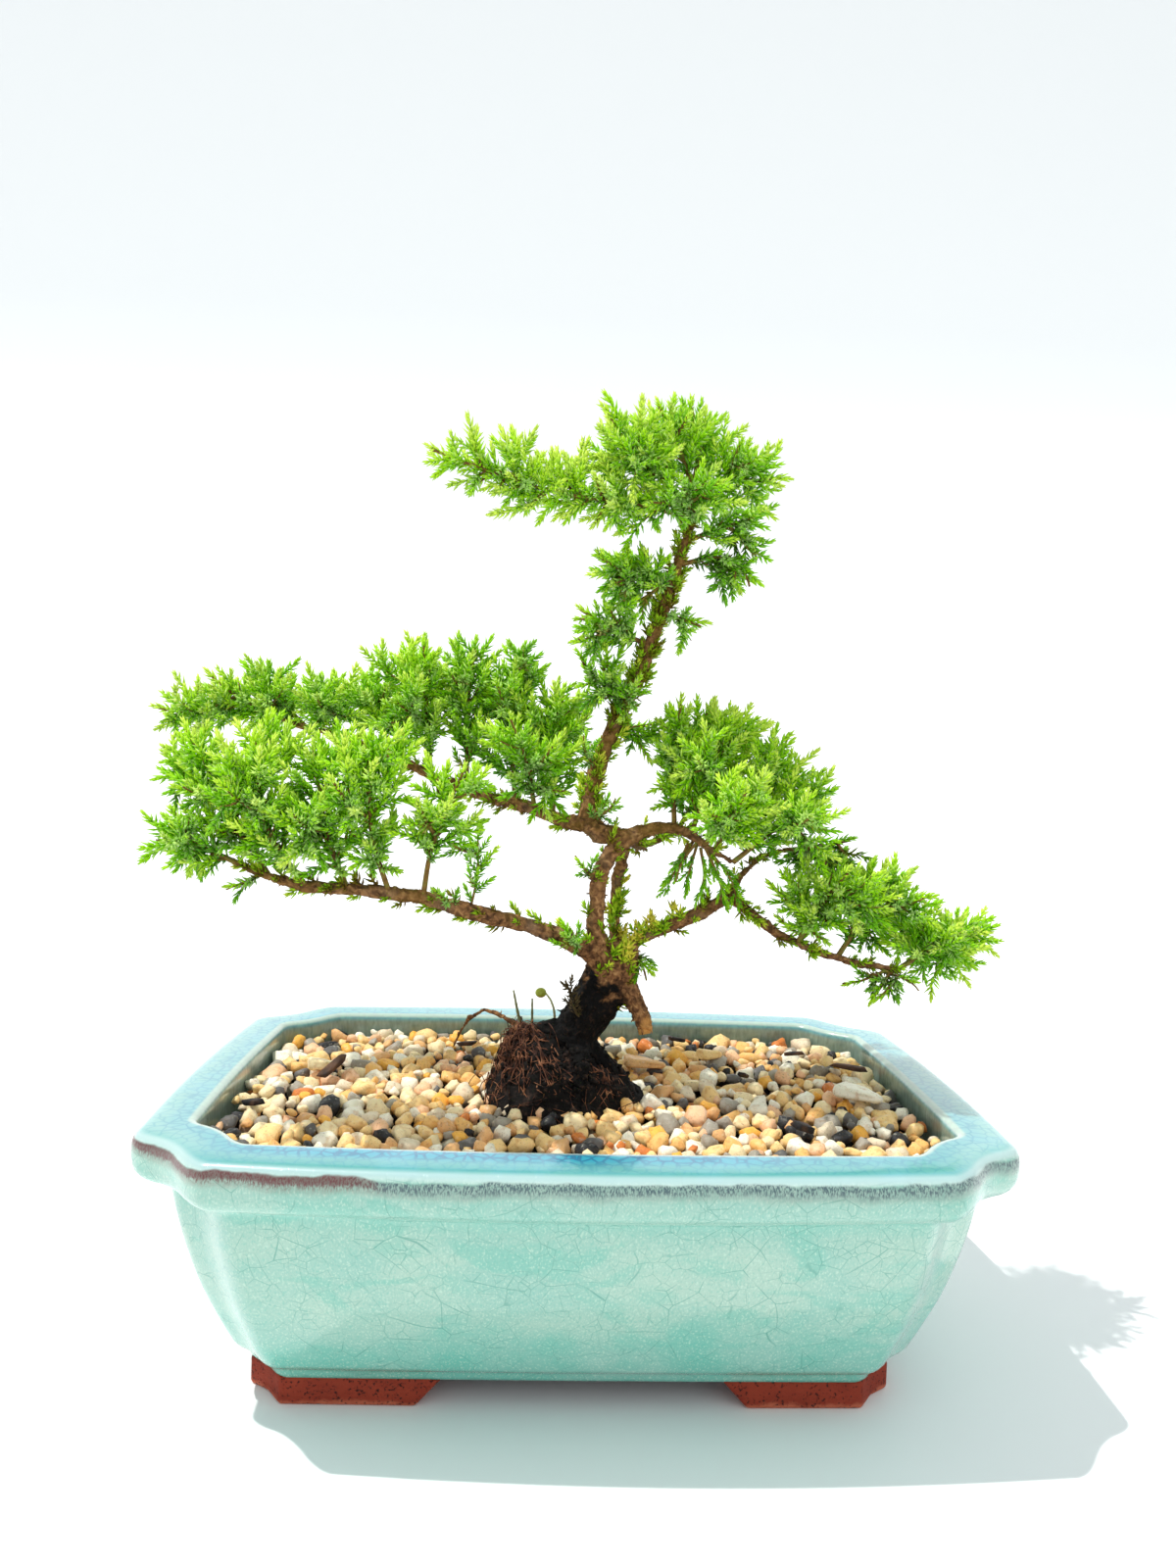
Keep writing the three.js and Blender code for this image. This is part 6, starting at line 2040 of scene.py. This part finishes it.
# %% [markdown]
# In the crotch of the trunk they stand closest, in front of the rear stem and round the foot of the right
# branch. There each one starts where a level ray from the front meets the wood.

# %% Sprouts in the crotch
CROTCH_SPROUTS = [
    (14.5, 137, 3.5, 14, 22), (18.5, 129, 4.5, 5, 34), (11, 132, 3, 6, 14), (23, 131, 4, 2, 8),
    (32, 135.5, 3, 1, 4), (14, 124, 4, 3, 8),
]
SPROUT_START = -60
AWAY_FROM_VIEWER = Vector((0, 1, 0))

for x, z, wide, high, count in CROTCH_SPROUTS:
    for _ in range(count):
        start = Vector((x + draw.gauss(0, wide / 2), SPROUT_START, z + draw.gauss(0, high / 2)))
        hit, normal, _, _ = bark_tree.ray_cast(start, AWAY_FROM_VIEWER)
        if hit is None:
            continue
        heading = (normal * 0.8 + UP * 0.9 + Vector((draw.gauss(0, 0.4), 0, 0))).normalized()
        add_sprout(hit, normal, heading, draw.uniform(0.7, 1.3), (0.25, 1.0))
make_piece("sprouts_on_wood", sprouts, [old_leaf])

# %% [markdown]
# Beside the trunk stand three small things: a seedling with a swollen pod, pale and thin as a thread, and
# two dead stalks, brown and thicker at the foot. Each is a tube along its route. The pod is a small
# sphere, drawn out, with a seam pressed in by scaling its middle ring.

# %% Seedling and dead stalks
SEEDLING = [(-8, 9.5, 86), (-8, 9.5, 98), (-9.2, 9.5, 103), (-11.2, 9.5, 106)]
POD_PLACE = Vector((-13, 9.5, 106.2))
POD_RADII = (1.95, 1.7, 1.75)
STALKS = {
    "dead_stalk_left": ([(-18.2, 13, 80), (-18.9, 13, 91.5), (-20.7, 13, 98), (-22.5, 13, 106)], 0.9),
    "dead_stalk_right": ([(-15.6, 12, 84), (-15.7, 12, 95), (-15.9, 12, 103.5)], 0.6),
}

pod = bmesh.new()
bmesh.ops.create_uvsphere(pod, u_segments=20, v_segments=13, radius=1)
for vert in pod.verts:
    if abs(vert.co.z) < 0.08:
        vert.co *= 0.93
bmesh.ops.rotate(pod, matrix=Matrix.Rotation(math.radians(72), 3, "Y"), verts=pod.verts)
bmesh.ops.scale(pod, vec=POD_RADII, verts=pod.verts)
bmesh.ops.translate(pod, vec=POD_PLACE, verts=pod.verts)
stem_line = smooth_line(SEEDLING, 8)
add_tube(pod, stem_line, tapered(stem_line, 0.5, 0.34), 10)
fresh_skin = Finish("seedling skin", roughness=0.35, specular=0.4)
pod_colour = fresh_skin.mix(fresh_skin.grain(1.4, detail=3), paint(186, 190, 70), paint(150, 168, 52))
underside = fresh_skin.fade(fresh_skin.along("Z"), 105.5, 104.6)
pod_colour = fresh_skin.mix(underside, pod_colour, paint(196, 126, 44))
pale_stem = fresh_skin.fade(fresh_skin.along("Z"), 92, 104)
stem_colour = fresh_skin.mix(pale_stem, paint(150, 110, 76), paint(214, 214, 160))
is_pod = fresh_skin.fade(fresh_skin.along("X"), -10.8, -11.6)
fresh_skin.colour(fresh_skin.mix(is_pod, stem_colour, pod_colour))
fresh_skin.bumps(fresh_skin.grain(0.5, detail=3), 0.06)
make_piece("seedling_and_pod", pod, [fresh_skin], ["seedling"])

dry = Finish("dry stalk", roughness=0.8, specular=0.2)
streaks = dry.grain(1, detail=3, vector=dry.stretched((1.6, 1.6, 0.3)))
brown_foot = dry.fade(dry.along("Z"), 97, 84)
stalk_colour = dry.mix(streaks, paint(110, 112, 66), paint(168, 166, 124))
dry.colour(dry.mix(brown_foot, stalk_colour, paint(88, 58, 38)))
dry.bumps(streaks, 0.12)
for name, (route, foot_radius) in STALKS.items():
    stalk = bmesh.new()
    line = smooth_line(route, 10)
    knobs = [1 + 0.14 * math.sin(index * 1.9) for index in range(len(line))]
    radii = [radius * knob for radius, knob in zip(tapered(line, foot_radius, 0.32), knobs)]
    add_tube(stalk, line, radii, 8)
    make_piece(f"{name}_stem", stalk, [dry], [name])

# %% [markdown]
# A dead sprig with dark, dry needles stands on the trunk's left side. It is made like the live shoots, so
# only its finish differs.

# %% The dead sprig
SPRIG = [(1.4, -6, 100), (-1.2, -8.5, 104), (-3, -9.5, 108), (-3.6, -10, 113)]

draw = random.Random(SPROUT_SEED)
sprig = leafy_model()
line = twig_line(SPRIG)
add_twigs(sprig, [line], 0.6, 0.3, 5)
for here in frames_along(line)[2:]:
    heading = off_the_twig(draw, here, 0.9)
    shape = draw.choice(sprout_shoots)
    add_shoot(sprig, draw, shape, here.translation, heading, draw.uniform(0.6, 1.0), 0)
dead = Finish("dead needles", roughness=0.85, specular=0.15)
dead.colour(dead.mix(dead.grain(2.4, detail=3), paint(34, 30, 22), paint(104, 88, 56)))
dead.bumps(dead.grain(0.5), 0.08)
make_piece("dead_sprig", sprig, [dead])

# %% [markdown]
# ## The stage
#
# The plant stands on a plain pale sheet that runs back and then curves up into a wall. A sheet that
# curves has no edge behind the plant, only a slight change of tone, as in the photograph.

# %% The floor
SHEET_WIDTH = 6000
SHEET_FRONT = -2500
SWEEP_START = 520
SWEEP_RADIUS = 900
WALL_HEIGHT = 3500
SWEEP_STEPS = 16

sheet = bmesh.new()
front_edge = [sheet.verts.new((x, SHEET_FRONT, 0)) for x in (-SHEET_WIDTH / 2, SHEET_WIDTH / 2)]
sheet_edge = sheet.edges.new(front_edge)
sweep = [(SWEEP_START, 0)]
for step in range(1, SWEEP_STEPS + 1):
    angle = math.pi / 2 * step / SWEEP_STEPS
    sweep.append((SWEEP_START + SWEEP_RADIUS * math.sin(angle), SWEEP_RADIUS * (1 - math.cos(angle))))
sweep.append((SWEEP_START + SWEEP_RADIUS, WALL_HEIGHT))
for y, z in sweep:
    made = bmesh.ops.extrude_edge_only(sheet, edges=[sheet_edge])["geom"]
    corners = [part for part in made if isinstance(part, bmesh.types.BMVert)]
    for vert in corners:
        vert.co = (vert.co.x, y, z)
    sheet_edge = sheet.edges.get(corners)
bmesh.ops.recalc_face_normals(sheet, faces=sheet.faces)
bmesh.ops.scale(sheet, vec=(MM, MM, MM), verts=sheet.verts)
sheet_mesh = to_mesh(sheet, "paper_sheet")
sheet_mesh.shade_smooth()
paper = Finish("pale paper", roughness=0.75, specular=0.2)
paper.colour(paint(244, 246, 247))
sheet_mesh.materials.append(paper.material)
add_object("paper_sheet", sheet_mesh)
print("the sheet has", len(sheet_mesh.polygons), "faces")

# %% [markdown]
# The light is one strong lamp high on the left and a bright, slightly cool room. A sun lamp gives the
# first, and a shadow with a clear edge. A plain pale world and a weak, very wide lamp from the right give
# the second, so the shadow stays pale. The Standard view keeps the scene as bright as a photograph.

# %% The lights
KEY_DIRECTION = Vector((0.47, 0.03, -1))
KEY_STRENGTH = 2.8
KEY_WIDTH = math.radians(0.8)
ROOM_STRENGTH = 0.7
FILL_DIRECTION = Vector((-0.6, 0.7, -0.9))
FILL_STRENGTH = 0.4
FILL_WIDTH = math.radians(70)


def add_sun(name, direction, strength, width, colour):
    sun = bpy.data.lights.new(name, "SUN")
    sun.energy = strength
    sun.angle = width
    sun.color = colour
    add_object(name, sun).rotation_euler = direction.to_track_quat("-Z", "Y").to_euler()


add_sun("key", KEY_DIRECTION, KEY_STRENGTH, KEY_WIDTH, (1.0, 0.975, 0.94))
add_sun("fill", FILL_DIRECTION, FILL_STRENGTH, FILL_WIDTH, (1.0, 1.0, 1.0))
room = bpy.data.worlds.new("room")
room.use_nodes = True
room_light = room.node_tree.nodes["Background"]
room_light.inputs["Color"].default_value = (0.93, 0.98, 1.0, 1.0)
room_light.inputs["Strength"].default_value = ROOM_STRENGTH
bpy.context.scene.world = room
bpy.context.scene.view_settings.view_transform = "Standard"
print("two lamps and the room")
